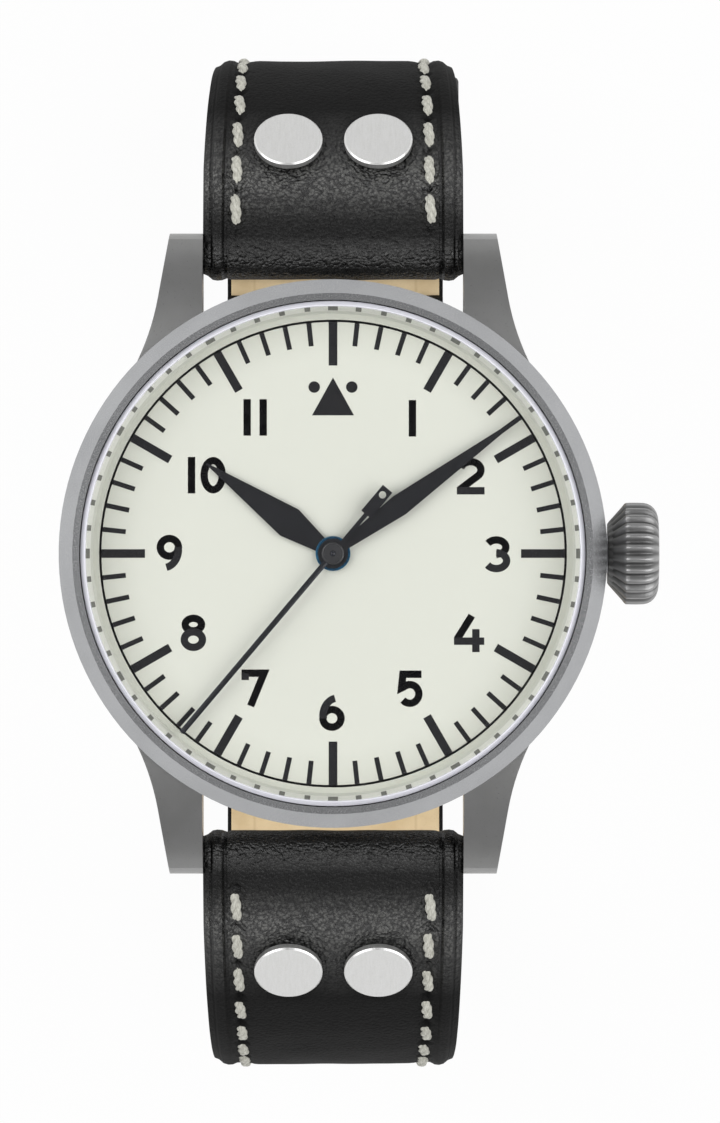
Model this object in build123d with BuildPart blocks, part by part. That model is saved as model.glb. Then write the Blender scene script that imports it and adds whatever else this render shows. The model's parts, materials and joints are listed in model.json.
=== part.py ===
from build123d import *
import os
from math import atan2, cos, degrees, hypot, radians, sin

# A 42 mm pilot's watch on a 20 mm leather strap, in millimetres.
# The origin is the centre of the case back's outer face. +Z leaves through the dial,
# +Y points to twelve o'clock and +X to the crown.

# Mid case
case_radius = 20.5
case_bottom = 1.0
case_top = 8.4
skirt_step = 1.2
skirt_radius = case_radius - skirt_step
skirt_height = 2.2
dial_seat_wall = 1.2
dial_seat_radius = case_radius - dial_seat_wall
case_wall = 2.3
case_bore = case_radius - case_wall
bore_floor = 2.9
thread_step = 1.2
thread_radius = case_bore - thread_step
back_seat = 1.4
back_recess_step = 0.6
back_recess_radius = case_bore - back_recess_step

# Lugs, which carry the strap
lug_gap = 20.1
bar_offset = 2.4
bar_reach = case_radius + bar_offset
lug_tip_cover = 1.8
lug_tip = bar_reach + lug_tip_cover
lug_tip_width = 2.55
lug_tip_half = lug_gap / 2 + lug_tip_width
lug_waist_back = 5.0
lug_waist = lug_tip - lug_waist_back
lug_waist_width = 3.4
lug_waist_half = lug_gap / 2 + lug_waist_width
lug_root = 9.0
lug_root_angle = 35.5
lug_foot = 0.7
lug_crest_back = 10.7
lug_crest = lug_tip - lug_crest_back
lug_crest_top = 8.3
lug_tip_top = 4.4
lug_tip_round = 1.2
lug_foot_round = 0.7

# Spring bars and the folds of leather that turn on them
bar_height = 2.6
bar_radius = 0.75
bar_end_gap = 0.35
bar_half = lug_gap / 2 - bar_end_gap
bar_tip_radius = 0.4
bar_tip_length = 1.3
tunnel_clearance = 0.1
pivot_clearance = 0.05
leather = 1.25
fold_clearance = 0.3

# Bezel, crystal and the ring round the dial
bezel_overhang = 0.5
bezel_radius = case_radius + bezel_overhang
bezel_side_top = 9.5
bezel_slope_width = 1.1
bezel_rim_radius = bezel_radius - bezel_slope_width
bezel_rim_top = 11.3
bezel_lip_drop = 0.05
crystal_inset = 1.2
crystal_radius = case_radius - crystal_inset
crystal_clearance = 0.08
crystal_bottom = 9.6
crystal_edge_top = 11.15
crystal_bevel = 0.3
crystal_rise = 1.2
crystal_foot = 0.35
crystal_hollow = 0.95
flange_width = 0.9
flange_inner = dial_seat_radius - flange_width
crystal_ledge = 0.3
flange_top_inner = crystal_radius - crystal_ledge
flange_top = 9.35
flange_clearance = 0.05

# Dial
dial_side_gap = 0.1
dial_radius = dial_seat_radius - dial_side_gap
dial_bottom = 7.8
dial_top = 8.2
dial_hole = 1.15
dial_foot_radius = 0.35
dial_foot_place = 11.6
dial_foot_length = 1.2
dial_foot_angle = 50.0

# Case back
back_side_gap = 0.1
back_radius = back_recess_radius - back_side_gap
back_thickness = 1.2
back_edge = 0.3
back_floor = 0.9
back_screw_gap = 0.05
back_screw_radius = thread_radius - back_screw_gap
back_screw_wall = 0.9
back_screw_top = 2.6
back_notches = 6
back_notch_width = 2.4
back_notch_depth = 1.0
back_notch_floor = 0.5
gasket_width = 0.5

# Crown, tube and stem
stem_height = 5.6
stem_radius = 0.6
stem_inner = 6.2
tube_radius = 1.5
tube_bore = 0.95
tube_overhang = 1.4
tube_end = case_radius + tube_overhang
crown_gap = 0.35
crown_base = case_radius + crown_gap
crown_collar = 0.35
crown_neck = crown_base + crown_collar
crown_neck_radius = 2.44
crown_cone = 1.3
crown_shoulder = crown_neck + crown_cone
crown_radius = 3.9
crown_side = 1.6
crown_side_end = crown_shoulder + crown_side
crown_round = 0.75
crown_dome = crown_side_end + crown_round
crown_dome_radius = 3.25
crown_cap = 0.25
crown_end = crown_dome + crown_cap
crown_end_radius = 2.5
crown_bore = 1.6
crown_bore_depth = 2.55
crown_bore_end = crown_base + crown_bore_depth
crown_gasket_inset = 0.2
crown_gasket_end = crown_bore_end - crown_gasket_inset
crown_gasket_length = 0.8
flutes = 26
flute_core_share = 0.9
flute_place_share = 0.885
flute_size_share = 0.118

# Movement plates
plate_radius = 12.8
plate_low = 5.7
plate_high = 6.7
bridge_low = 2.3
bridge_high = 3.1
bridge_radius = 12.5
bridge_pillar = 1.0
bridge_pillar_place = 11.3
pillar_angles = (30.0, 180.0, 250.0)
cock_foot_angle = 345.0
cock_high = 2.95
cock_width = 2.6
cock_gap = 0.25
holder_wall = 1.2
holder_gap = 0.1
holder_low = 4.9
holder_web_top = 6.6
holder_top = 7.7
jewel_radius = 0.6
jewel_bore = 0.15
jewel_height = 0.3
pivot_radius = 0.1
arbor_radius = 0.25
screw_head_radius = 0.8
screw_head_height = 0.3
screw_radius = 0.4
screw_length = 1.6
screw_slot = 0.2
screw_slot_depth = 0.15
clamp_angles = (100.0, 280.0)
clamp_length = 3.2
clamp_width = 2.0
clamp_height = 0.35

# Going train: places round the centre, teeth and levels
centre_to_third = 5.0
third_angle = 235.0
centre_to_escape = 4.95
escape_angle = 300.0
centre_to_barrel = 6.5
barrel_angle = 100.0
centre_to_balance = 9.0
balance_angle = 318.0
wheel_height = 0.25
pinion_teeth = 6
centre_teeth = 48
third_teeth = 45
fourth_teeth = 60
barrel_teeth = 45
addendum_share = 0.75
dedendum_share = 1.1
root_share = 0.32
tip_share = 0.12
rim_share = 0.84
hub_share = 0.24
spokes = 4
spoke_width = 0.5
centre_wheel_low = 5.3
centre_pinion_low = 4.75
centre_arbor_radius = 0.42
centre_arbor_bore = 0.27
fourth_wheel_low = 3.25
fourth_pinion_high = 4.1
fourth_arbor_radius = 0.2
third_wheel_low = 3.75
third_pinion_low = 5.15
escape_pinion_high = 3.75
escape_wheel_low = 4.3
escape_tip_radius = 1.9
escape_root_radius = 1.35
escape_teeth = 15
escape_tooth_front = 0.75
escape_tooth_back = 0.85
barrel_low = 3.75
barrel_high = 5.15
barrel_teeth_low = 4.8
drum_radius = 5.2
drum_wall = 0.3
cover_height = 0.2
barrel_arbor_radius = 1.0
barrel_arbor_end = 0.5
mainspring_inner = 1.2
mainspring_step = 0.3
mainspring_turns = 6
mainspring_band = 0.14
mainspring_gap = 0.1

# Balance and pallets
balance_radius = 3.6
balance_rim = 0.45
balance_low = 3.4
balance_high = 3.8
balance_arm = 0.5
balance_hub = 0.6
roller_radius = 0.7
roller_low = 4.3
roller_high = 4.5
hairspring_low = 3.12
hairspring_high = 3.27
hairspring_inner = 0.35
hairspring_step = 0.16
hairspring_turns = 5
hairspring_band = 0.05
pallet_share = 0.57
fork_low = 4.6
fork_height = 0.22
fork_width = 0.4
fork_length = 1.0
pallet_arm_forward = 0.92
pallet_arm_side = 1.12
pallet_arm_width = 0.35
pallet_stone = 0.16
pallet_stone_drop = 0.3

# Motion works under the dial
cannon_teeth = 6
minute_wheel_teeth = 18
hour_wheel_teeth = 24
motion_distance = 2.6
motion_angle = 60.0
cannon_low = 6.8
cannon_high = 7.15
hour_wheel_low = 7.35
hour_wheel_high = 7.6
cannon_tube_radius = 0.62
hour_pipe_bore = 0.68
hour_pipe_radius = 0.95
motion_post_radius = 0.3

# Hands
hour_hand_low = 8.5
minute_hand_low = 8.8
second_hand_low = 9.1
hand_height = 0.15
hour_hand_angle = 305.4
minute_hand_angle = 54.0
second_hand_angle = 220.2
hour_reach_share = 0.6467
hour_hand_reach = hour_reach_share * flange_inner
hour_hand_belly = 4.1
hour_hand_width = 2.46
hour_hand_neck = 0.7
hour_hub_radius = 1.3
minute_hand_gap = 0.57
minute_hand_reach = flange_inner - minute_hand_gap
minute_hand_belly = 6.3
minute_hand_width = 1.68
minute_hand_neck = 0.55
minute_hub_radius = 1.15
hand_tip_width = 0.12
second_hand_gap = 0.4
second_hand_reach = flange_inner - second_hand_gap
second_hand_width = 0.375
second_tip_width = 0.19
second_hub_radius = 0.85
tail_width = 0.34
counterweight_start = 3.92
counterweight_end = 6.49
counterweight_width = 0.95
counterweight_hole = 0.28
counterweight_hole_place = 5.88

# Rotor
rotor_radius = 12.4
rotor_low = 1.1
rotor_web = 0.35
rotor_rim = 2.6
rotor_rim_height = 0.8
rotor_bore = 2.05
rotor_hub = 3.4
rotor_spokes = 4
rotor_spoke_width = 1.4
rotor_spoke_start = -150.0
rotor_spoke_range = 120.0
bearing_radius = 2.0
bearing_flange = 2.7
bearing_gap = 0.08

# Winding parts
winding_radius = 1.15
winding_start = 9.3
winding_end = 10.5
sliding_radius = 1.0
sliding_start = 7.4
sliding_end = 9.1
pinion_bore_clearance = 0.05
pinion_pocket_gap = 0.2

# Strap halves, as seen from the crown side
strap_side_gap = 0.15
strap_half_at_case = lug_gap / 2 - strap_side_gap
strap_taper = 0.9
strap_half_at_floor = strap_half_at_case - strap_taper
strap_full_level = 2.0
strap_slim_level = -30.0
floor_level = -57.5
corner_radius = 22.0
buckle_half_angle = 10.5
buckle_half_shoulder = 19.2
buckle_half_length = 82.0
hole_half_angle = 18.3
hole_half_shoulder = 24.9
tail_gap = 1.6
case_flap = 15.0
buckle_flap = 5.0
lining_start = 1.1
hole_count = 7
hole_pitch = 7.0
first_hole = 18.0
hole_radius = 1.1
tip_taper = 12.0
tip_half = 3.2

# Rivets
rivet_side = 3.49
rivet_angle_12 = 38.9
rivet_angle_6 = 41.4
rivet_head_radius = 2.65
rivet_head_height = 0.55
rivet_crown = 0.12
rivet_crown_angle = 45.0
rivet_shank = 1.1
rivet_hole_clearance = 0.05
washer_radius = 2.1
washer_height = 0.4
washer_gap = 0.16

# Buckle
frame_side_gap = 0.4
frame_half_inside = strap_half_at_floor + frame_side_gap
frame_arm = 1.4
frame_reach = 12.5
frame_bar = 2.0
frame_ear = 1.4
frame_height = 1.7
frame_round = 0.5
buckle_bar_gap = 0.15
buckle_bar_half = frame_half_inside - buckle_bar_gap
buckle_bar_tip = 0.8
tongue_width = 1.8
tongue_ring = 1.5
tongue_height = 0.8
tongue_overhang = 0.6
tongue_gap = 0.08
tongue_slot_gap = 0.4

# Keepers, as arc lengths along the buckle half
keeper_side_gap = 0.35
keeper_half_inside = strap_half_at_floor + keeper_side_gap
keeper_wall = 0.9
keeper_width = 5.5
keeper_headroom = 3.1
keeper_gap = 0.15
keeper_from_buckle = 12.5
fixed_keeper_start = buckle_half_length - keeper_from_buckle
keeper_spacing = 10.5
free_keeper_start = fixed_keeper_start - keeper_spacing

# One overrun serves all cuts that run past a face
overrun = 1.0

os.makedirs("parts", exist_ok=True)


def write(piece, name):
    piece.part.label = name
    export_step(piece.part, f"parts/{name}.step")


def post(place, radius, low, high):
    with BuildPart() as piece:
        with BuildSketch(Plane.XY.offset(low)):
            with Locations(place):
                Circle(radius)
        extrude(amount=high - low)
    return piece.part


def rod(height, radius, start, end, reach=0):
    with BuildPart() as piece:
        with BuildSketch(Plane.YZ.offset(start)):
            with Locations((reach, height)):
                Circle(radius)
        extrude(amount=end - start)
    return piece.part


def ring(inner, outer, low, high):
    with BuildPart() as piece:
        with BuildSketch(Plane.XY.offset(low)):
            Circle(outer)
            Circle(inner, mode=Mode.SUBTRACT)
        extrude(amount=high - low)
    return piece


def turned(points):
    with BuildPart() as piece:
        with BuildSketch(Plane.XZ):
            with BuildLine():
                Polyline(*points, close=True)
            make_face()
        revolve(axis=Axis.Z)
    return piece.part


def around(distance, angle):
    return (distance * cos(radians(angle)), distance * sin(radians(angle)))


def direction_between(start, end):
    return degrees(atan2(end[1] - start[1], end[0] - start[0]))


# Mid case: a turned body with four lugs, bored for the movement, the crown tube and the spring bars
strap_fold_radius = bar_radius + tunnel_clearance + leather

with BuildPart() as lug:
    with BuildSketch(Plane.XY):
        with BuildLine():
            waist = (lug_waist_half, lug_waist)
            tip_corner = (lug_tip_half, lug_tip)
            root = around(case_radius, lug_root_angle)
            Polyline((lug_gap / 2, lug_root), (lug_gap / 2, lug_tip), tip_corner, waist)
            flare = TangentArc(waist, root, tangent=(waist[0] - tip_corner[0], waist[1] - tip_corner[1]))
            Line(flare @ 1, (lug_gap / 2, lug_root))
        make_face()
    extrude(amount=case_top)
    with BuildSketch(Plane.YZ):
        with BuildLine():
            crest = (lug_crest, lug_crest_top)
            fall = TangentArc(crest, (lug_tip, lug_tip_top), tangent=(1, 0))
            Polyline(fall @ 1, (lug_tip, lug_foot), (lug_root, case_bottom), (lug_root, lug_crest_top), crest)
        make_face()
    extrude(amount=case_radius, mode=Mode.INTERSECT)
    tip_edges = lug.edges().filter_by(Axis.X).group_by(Axis.Y)[-1].sort_by(Axis.Z)
    fillet(tip_edges[-1], radius=lug_tip_round)
    foot_edge = lug.edges().filter_by(Axis.X).group_by(Axis.Z)[0].sort_by(Axis.Y)[-1]
    fillet(foot_edge, radius=lug_foot_round)

with BuildPart() as mid_case:
    add(turned([
        (0, case_bottom),
        (skirt_radius, case_bottom),
        (case_radius, case_bottom + skirt_height),
        (case_radius, case_top),
        (0, case_top),
    ]))
    add(lug.part)
    add(lug.part.mirror(Plane.YZ))
    add(lug.part.mirror(Plane.XZ))
    add(lug.part.mirror(Plane.YZ).mirror(Plane.XZ))
    add(turned([
        (0, case_bottom - overrun),
        (back_recess_radius, case_bottom - overrun),
        (back_recess_radius, back_seat),
        (thread_radius, back_seat),
        (thread_radius, bore_floor),
        (case_bore, bore_floor),
        (case_bore, dial_bottom),
        (dial_seat_radius, dial_bottom),
        (dial_seat_radius, case_top + overrun),
        (0, case_top + overrun),
    ]), mode=Mode.SUBTRACT)
    add(rod(stem_height, tube_radius, case_bore - overrun, case_radius + overrun), mode=Mode.SUBTRACT)
    for side in (-1, 1):
        notch_radius = strap_fold_radius + fold_clearance
        add(rod(bar_height, notch_radius, -lug_gap / 2, lug_gap / 2, side * bar_reach), mode=Mode.SUBTRACT)
        tip_hole = bar_tip_radius + pivot_clearance
        hole_reach = bar_half + bar_tip_length + pivot_clearance
        add(rod(bar_height, tip_hole, -hole_reach, hole_reach, side * bar_reach), mode=Mode.SUBTRACT)
write(mid_case, "mid_case")

# Case back with its screw ring and key notches
with BuildPart() as case_back:
    add(turned([
        (0, 0),
        (back_radius - back_edge, 0),
        (back_radius, back_edge),
        (back_radius, back_thickness),
        (back_screw_radius, back_thickness),
        (back_screw_radius, back_screw_top),
        (back_screw_radius - back_screw_wall, back_screw_top),
        (back_screw_radius - back_screw_wall, back_floor),
        (0, back_floor),
    ]))
    with BuildSketch(Plane.XY):
        with PolarLocations(back_radius, back_notches):
            Rectangle(2 * back_notch_depth, back_notch_width)
    extrude(amount=back_notch_floor, mode=Mode.SUBTRACT)
write(case_back, "case_back")
write(ring(back_radius - gasket_width, back_radius, back_thickness, back_seat), "back_gasket")

# Bezel, crystal, its gasket and the ring round the dial
bezel_bore = crystal_radius + crystal_clearance
with BuildPart() as bezel:
    add(turned([
        (bezel_bore, case_top),
        (bezel_radius, case_top),
        (bezel_radius, bezel_side_top),
        (bezel_rim_radius, bezel_rim_top),
        (bezel_bore, bezel_rim_top - bezel_lip_drop),
    ]))
write(bezel, "bezel")

with BuildPart() as crystal:
    with BuildSketch(Plane.XZ):
        with BuildLine():
            shoulder = (crystal_radius - crystal_bevel, crystal_edge_top)
            dome_top = (0, crystal_edge_top + crystal_rise)
            hollow_top = (0, crystal_bottom + crystal_hollow)
            foot = (crystal_radius - crystal_foot, crystal_bottom)
            Line(hollow_top, dome_top)
            dome = TangentArc(dome_top, shoulder, tangent=(1, 0))
            bevel_foot = (crystal_radius, crystal_edge_top - crystal_bevel)
            Polyline(dome @ 1, bevel_foot, (crystal_radius, crystal_bottom), foot)
            TangentArc(hollow_top, foot, tangent=(1, 0))
        make_face()
    revolve(axis=Axis.Z)
write(crystal, "crystal")
write(ring(flange_top_inner, crystal_radius, flange_top, crystal_bottom), "crystal_gasket")

flange_outer = dial_seat_radius - flange_clearance
with BuildPart() as flange_ring:
    add(turned([
        (flange_inner, dial_top),
        (flange_outer, dial_top),
        (flange_outer, flange_top),
        (flange_top_inner, flange_top),
    ]))
write(flange_ring, "flange_ring")

# Dial with two feet that enter the main plate
foot_places = [around(dial_foot_place, dial_foot_angle), around(dial_foot_place, dial_foot_angle + 180)]
with BuildPart() as dial:
    with BuildSketch(Plane.XY.offset(dial_bottom)):
        Circle(dial_radius)
        Circle(dial_hole, mode=Mode.SUBTRACT)
    extrude(amount=dial_top - dial_bottom)
    for place in foot_places:
        foot_end = dial_bottom - dial_foot_length - plate_high + plate_low
        add(post(place, dial_foot_radius, foot_end, dial_bottom))
write(dial, "dial")

# Crown, its gasket, the tube in the case and the stem
with BuildPart() as crown_tube:
    add(rod(stem_height, tube_radius, case_bore, tube_end))
    add(rod(stem_height, tube_bore, case_bore - overrun, tube_end + overrun), mode=Mode.SUBTRACT)
write(crown_tube, "crown_tube")


def fluted_section(distance, radius):
    with BuildSketch(Plane.YZ.offset(distance)) as section:
        with Locations((0, stem_height)):
            Circle(radius * flute_core_share)
            with PolarLocations(radius * flute_place_share, flutes):
                Circle(radius * flute_size_share)
    return section.sketch


crown_stations = [
    (crown_neck, crown_neck_radius),
    (crown_shoulder, crown_radius),
    (crown_side_end, crown_radius),
    (crown_dome, crown_dome_radius),
    (crown_end, crown_end_radius),
]
with BuildPart() as crown:
    for near, far in zip(crown_stations, crown_stations[1:]):
        loft(sections=[fluted_section(*near), fluted_section(*far)], ruled=True)
    add(rod(stem_height, crown_neck_radius * flute_core_share, crown_base, crown_neck + overrun))
    add(rod(stem_height, crown_bore, crown_base - overrun, crown_bore_end), mode=Mode.SUBTRACT)
write(crown, "crown")

with BuildPart() as crown_gasket:
    add(rod(stem_height, crown_bore, crown_gasket_end - crown_gasket_length, crown_gasket_end))
    add(rod(stem_height, stem_radius, stem_inner, crown_bore_end), mode=Mode.SUBTRACT)
write(crown_gasket, "crown_gasket")

with BuildPart() as stem:
    add(rod(stem_height, stem_radius, stem_inner, crown_bore_end))
write(stem, "stem")

# Winding and sliding pinions on the stem
pinion_bore = stem_radius + pinion_bore_clearance
with BuildPart() as winding_pinion:
    add(rod(stem_height, winding_radius, winding_start, winding_end))
    add(rod(stem_height, pinion_bore, winding_start - overrun, winding_end + overrun), mode=Mode.SUBTRACT)
write(winding_pinion, "winding_pinion")

with BuildPart() as sliding_pinion:
    add(rod(stem_height, sliding_radius, sliding_start, sliding_end))
    add(rod(stem_height, pinion_bore, sliding_start - overrun, sliding_end + overrun), mode=Mode.SUBTRACT)
    with BuildSketch(Plane.YZ.offset((sliding_start + sliding_end - wheel_height) / 2)):
        with Locations((0, stem_height)):
            Circle(sliding_radius + overrun)
            Circle((sliding_radius + pinion_bore) / 2, mode=Mode.SUBTRACT)
    extrude(amount=wheel_height, mode=Mode.SUBTRACT)
write(sliding_pinion, "sliding_pinion")

# Places of the train's arbors
third_place = around(centre_to_third, third_angle)
escape_place = around(centre_to_escape, escape_angle)
barrel_place = around(centre_to_barrel, barrel_angle)
balance_place = around(centre_to_balance, balance_angle)
motion_place = around(motion_distance, motion_angle)
pallet_place = (
    escape_place[0] + pallet_share * (balance_place[0] - escape_place[0]),
    escape_place[1] + pallet_share * (balance_place[1] - escape_place[1]),
)
pallet_line = direction_between(escape_place, balance_place)
cock_foot_place = around(bridge_pillar_place, cock_foot_angle)
pillar_places = [around(bridge_pillar_place, angle) for angle in pillar_angles]
cock_span = hypot(cock_foot_place[0] - balance_place[0], cock_foot_place[1] - balance_place[1])
cock_middle = ((cock_foot_place[0] + balance_place[0]) / 2, (cock_foot_place[1] + balance_place[1]) / 2)
cock_turn = direction_between(balance_place, cock_foot_place)

# Main plate, cut for the stem and its pinions
with BuildPart() as main_plate:
    with BuildSketch(Plane.XY.offset(plate_low)):
        Circle(plate_radius)
        Circle(centre_arbor_radius + pivot_clearance, mode=Mode.SUBTRACT)
        with Locations(third_place, escape_place, pallet_place, balance_place):
            Circle(jewel_radius, mode=Mode.SUBTRACT)
        with Locations(*foot_places):
            Circle(dial_foot_radius + pivot_clearance, mode=Mode.SUBTRACT)
        with Locations(motion_place):
            Circle(motion_post_radius - pivot_clearance, mode=Mode.SUBTRACT)
        pocket_length = winding_end - sliding_start + 2 * pinion_pocket_gap
        pocket_width = 2 * (winding_radius + pinion_pocket_gap)
        with Locations(((sliding_start + winding_end) / 2, 0)):
            Rectangle(pocket_length, pocket_width, mode=Mode.SUBTRACT)
    extrude(amount=plate_high - plate_low)
    add(rod(stem_height, pinion_bore, stem_inner - overrun, plate_radius + overrun), mode=Mode.SUBTRACT)
write(main_plate, "main_plate")

# Ring that holds the movement in the middle of the case
with BuildPart() as movement_ring:
    add(turned([
        (case_bore - holder_gap - holder_wall, bore_floor),
        (case_bore - holder_gap, bore_floor),
        (case_bore - holder_gap, holder_top),
        (case_bore - holder_gap - holder_wall, holder_top),
        (case_bore - holder_gap - holder_wall, holder_web_top),
        (plate_radius + holder_gap, holder_web_top),
        (plate_radius + holder_gap, holder_low),
        (case_bore - holder_gap - holder_wall, holder_low),
    ]))
    stem_way = tube_radius + holder_gap
    add(rod(stem_height, stem_way, plate_radius - overrun, case_bore + overrun), mode=Mode.SUBTRACT)
write(movement_ring, "movement_ring")

# Bridge over the barrel and train, on three pillars
with BuildPart() as train_bridge:
    with BuildSketch(Plane.XY.offset(bridge_low)):
        Circle(bridge_radius)
        Circle(jewel_radius, mode=Mode.SUBTRACT)
        with Locations(third_place, escape_place):
            Circle(jewel_radius, mode=Mode.SUBTRACT)
        with Locations(barrel_place):
            Circle(barrel_arbor_end + pivot_clearance, mode=Mode.SUBTRACT)
        with Locations(balance_place):
            Circle(balance_radius + cock_gap, mode=Mode.SUBTRACT)
        with Locations(cock_middle):
            SlotCenterToCenter(cock_span, cock_width + 2 * cock_gap, rotation=cock_turn, mode=Mode.SUBTRACT)
            Rectangle(cock_span, plate_radius, rotation=cock_turn,
                      align=(Align.CENTER, Align.MAX), mode=Mode.SUBTRACT)
    extrude(amount=bridge_high - bridge_low)
    for place in pillar_places:
        add(post(place, bridge_pillar, bridge_high, plate_low))
        add(post(place, screw_radius, bridge_low, bridge_low + screw_length), mode=Mode.SUBTRACT)
write(train_bridge, "train_bridge")

# Balance cock: an arm from its foot to the balance staff
with BuildPart() as balance_cock:
    with BuildSketch(Plane.XY.offset(bridge_low)):
        with Locations(cock_middle):
            SlotCenterToCenter(cock_span, cock_width, rotation=cock_turn)
        with Locations(balance_place):
            Circle(jewel_radius, mode=Mode.SUBTRACT)
    extrude(amount=cock_high - bridge_low)
    add(post(cock_foot_place, bridge_pillar, cock_high, plate_low))
    add(post(cock_foot_place, screw_radius, bridge_low, bridge_low + screw_length), mode=Mode.SUBTRACT)
write(balance_cock, "balance_cock")


# Slotted screws for the bridge and the cock, and two clamps that hold the movement
def slotted_screw(place):
    with BuildPart() as piece:
        add(post(place, screw_head_radius, bridge_low - screw_head_height, bridge_low))
        add(post(place, screw_radius, bridge_low, bridge_low + screw_length))
        with BuildSketch(Plane.XY.offset(bridge_low - screw_head_height)):
            with Locations(place):
                Rectangle(2 * screw_head_radius + overrun, screw_slot)
        extrude(amount=screw_slot_depth, mode=Mode.SUBTRACT)
    return piece.part


with BuildPart() as bridge_screws:
    for place in pillar_places + [cock_foot_place]:
        add(slotted_screw(place))
write(bridge_screws, "bridge_screws")

with BuildPart() as case_clamps:
    for angle in clamp_angles:
        clamp_middle = plate_radius + holder_gap + clamp_length / 2 - holder_gap
        with BuildSketch(Plane.XY.offset(holder_low - clamp_height)):
            with Locations(around(clamp_middle, angle)):
                RectangleRounded(clamp_length, clamp_width, clamp_height, rotation=angle)
        extrude(amount=clamp_height)
write(case_clamps, "case_clamps")

# Jewels: one ring for each pivot
jewel_places = [
    (third_place, bridge_high - jewel_height),
    (escape_place, bridge_high - jewel_height),
    ((0, 0), bridge_high - jewel_height),
    (balance_place, cock_high - jewel_height),
    (third_place, plate_low),
    (escape_place, plate_low),
    (pallet_place, plate_low),
    (balance_place, plate_low),
]
with BuildPart() as jewels:
    for place, level in jewel_places:
        with BuildSketch(Plane.XY.offset(level)):
            with Locations(place):
                Circle(jewel_radius)
                Circle(jewel_bore, mode=Mode.SUBTRACT)
        extrude(amount=jewel_height)
write(jewels, "jewels")


# Gears: a closed outline with one tooth centred on a direction
def gear_points(teeth, pitch_radius, direction):
    module = 2 * pitch_radius / teeth
    root_radius = pitch_radius - dedendum_share * module
    tip_radius = pitch_radius + addendum_share * module
    step = 360 / teeth
    points = []
    for number in range(teeth):
        middle = direction + number * step
        points.append(around(root_radius, middle - root_share * step))
        points.append(around(tip_radius, middle - tip_share * step))
        points.append(around(tip_radius, middle + tip_share * step))
        points.append(around(root_radius, middle + root_share * step))
    return points


def gear(place, teeth, pitch_radius, direction, low, height):
    with BuildPart() as piece:
        with BuildSketch(Plane.XY.offset(low)):
            with Locations(place):
                Polygon(*gear_points(teeth, pitch_radius, direction), align=None)
        extrude(amount=height)
    return piece.part


def wheel_windows(place, pitch_radius, low, height):
    with BuildPart() as piece:
        with BuildSketch(Plane.XY.offset(low)):
            with Locations(place):
                Circle(pitch_radius * rim_share)
                Circle(pitch_radius * hub_share, mode=Mode.SUBTRACT)
                with PolarLocations(0, spokes):
                    Rectangle(pitch_radius, spoke_width, align=(Align.MIN, Align.CENTER), mode=Mode.SUBTRACT)
        extrude(amount=height)
    return piece.part


def arbor(place, radius, low, high):
    with BuildPart() as piece:
        add(post(place, radius, low, high))
        add(post(place, pivot_radius, low - jewel_height, high + jewel_height))
    return piece.part


def pinion_pitch(distance, pinion, wheel):
    return distance * pinion / (pinion + wheel)


third_pinion_pitch = pinion_pitch(centre_to_third, pinion_teeth, centre_teeth)
fourth_pinion_pitch = pinion_pitch(centre_to_third, pinion_teeth, third_teeth)
escape_pinion_pitch = pinion_pitch(centre_to_escape, pinion_teeth, fourth_teeth)
centre_pinion_pitch = pinion_pitch(centre_to_barrel, pinion_teeth, barrel_teeth)
cannon_pitch = pinion_pitch(motion_distance, cannon_teeth, minute_wheel_teeth)
minute_pinion_pitch = pinion_pitch(motion_distance, pinion_teeth, hour_wheel_teeth)
half_pinion_step = 180 / pinion_teeth

# Centre wheel: a hollow arbor that carries the minute hand
with BuildPart() as centre_wheel:
    pitch = centre_to_third - third_pinion_pitch
    add(gear((0, 0), centre_teeth, pitch, third_angle, centre_wheel_low, wheel_height))
    add(wheel_windows((0, 0), pitch, centre_wheel_low - overrun, 2 * overrun), mode=Mode.SUBTRACT)
    add(gear((0, 0), pinion_teeth, centre_pinion_pitch, barrel_angle, centre_pinion_low,
             centre_wheel_low + wheel_height - centre_pinion_low))
    add(post((0, 0), centre_arbor_radius, centre_pinion_low, minute_hand_low + hand_height))
    add(post((0, 0), centre_arbor_bore, centre_pinion_low - overrun, second_hand_low), mode=Mode.SUBTRACT)
write(centre_wheel, "centre_wheel")

with BuildPart() as cannon_pinion:
    add(gear((0, 0), cannon_teeth, cannon_pitch, motion_angle, cannon_low, cannon_high - cannon_low))
    add(post((0, 0), cannon_tube_radius, cannon_low, minute_hand_low))
    add(post((0, 0), centre_arbor_radius, cannon_low - overrun, second_hand_low), mode=Mode.SUBTRACT)
write(cannon_pinion, "cannon_pinion")

with BuildPart() as third_wheel:
    pitch = centre_to_third - fourth_pinion_pitch
    add(gear(third_place, third_teeth, pitch, third_angle + 180, third_wheel_low, wheel_height))
    add(wheel_windows(third_place, pitch, third_wheel_low - overrun, 2 * overrun), mode=Mode.SUBTRACT)
    add(gear(third_place, pinion_teeth, third_pinion_pitch, third_angle + 180 + half_pinion_step,
             third_pinion_low, plate_low - pivot_clearance - third_pinion_low))
    add(arbor(third_place, arbor_radius, bridge_high + pivot_clearance, plate_low - pivot_clearance))
write(third_wheel, "third_wheel")

with BuildPart() as fourth_wheel:
    pitch = centre_to_escape - escape_pinion_pitch
    add(gear((0, 0), fourth_teeth, pitch, escape_angle, fourth_wheel_low, wheel_height))
    add(wheel_windows((0, 0), pitch, fourth_wheel_low - overrun, 2 * overrun), mode=Mode.SUBTRACT)
    add(gear((0, 0), pinion_teeth, fourth_pinion_pitch, third_angle + half_pinion_step,
             fourth_wheel_low, fourth_pinion_high - fourth_wheel_low))
    add(post((0, 0), fourth_arbor_radius, bridge_high + pivot_clearance, second_hand_low + hand_height))
    add(post((0, 0), pivot_radius, bridge_high - jewel_height, bridge_high + pivot_clearance))
write(fourth_wheel, "fourth_wheel")


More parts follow.
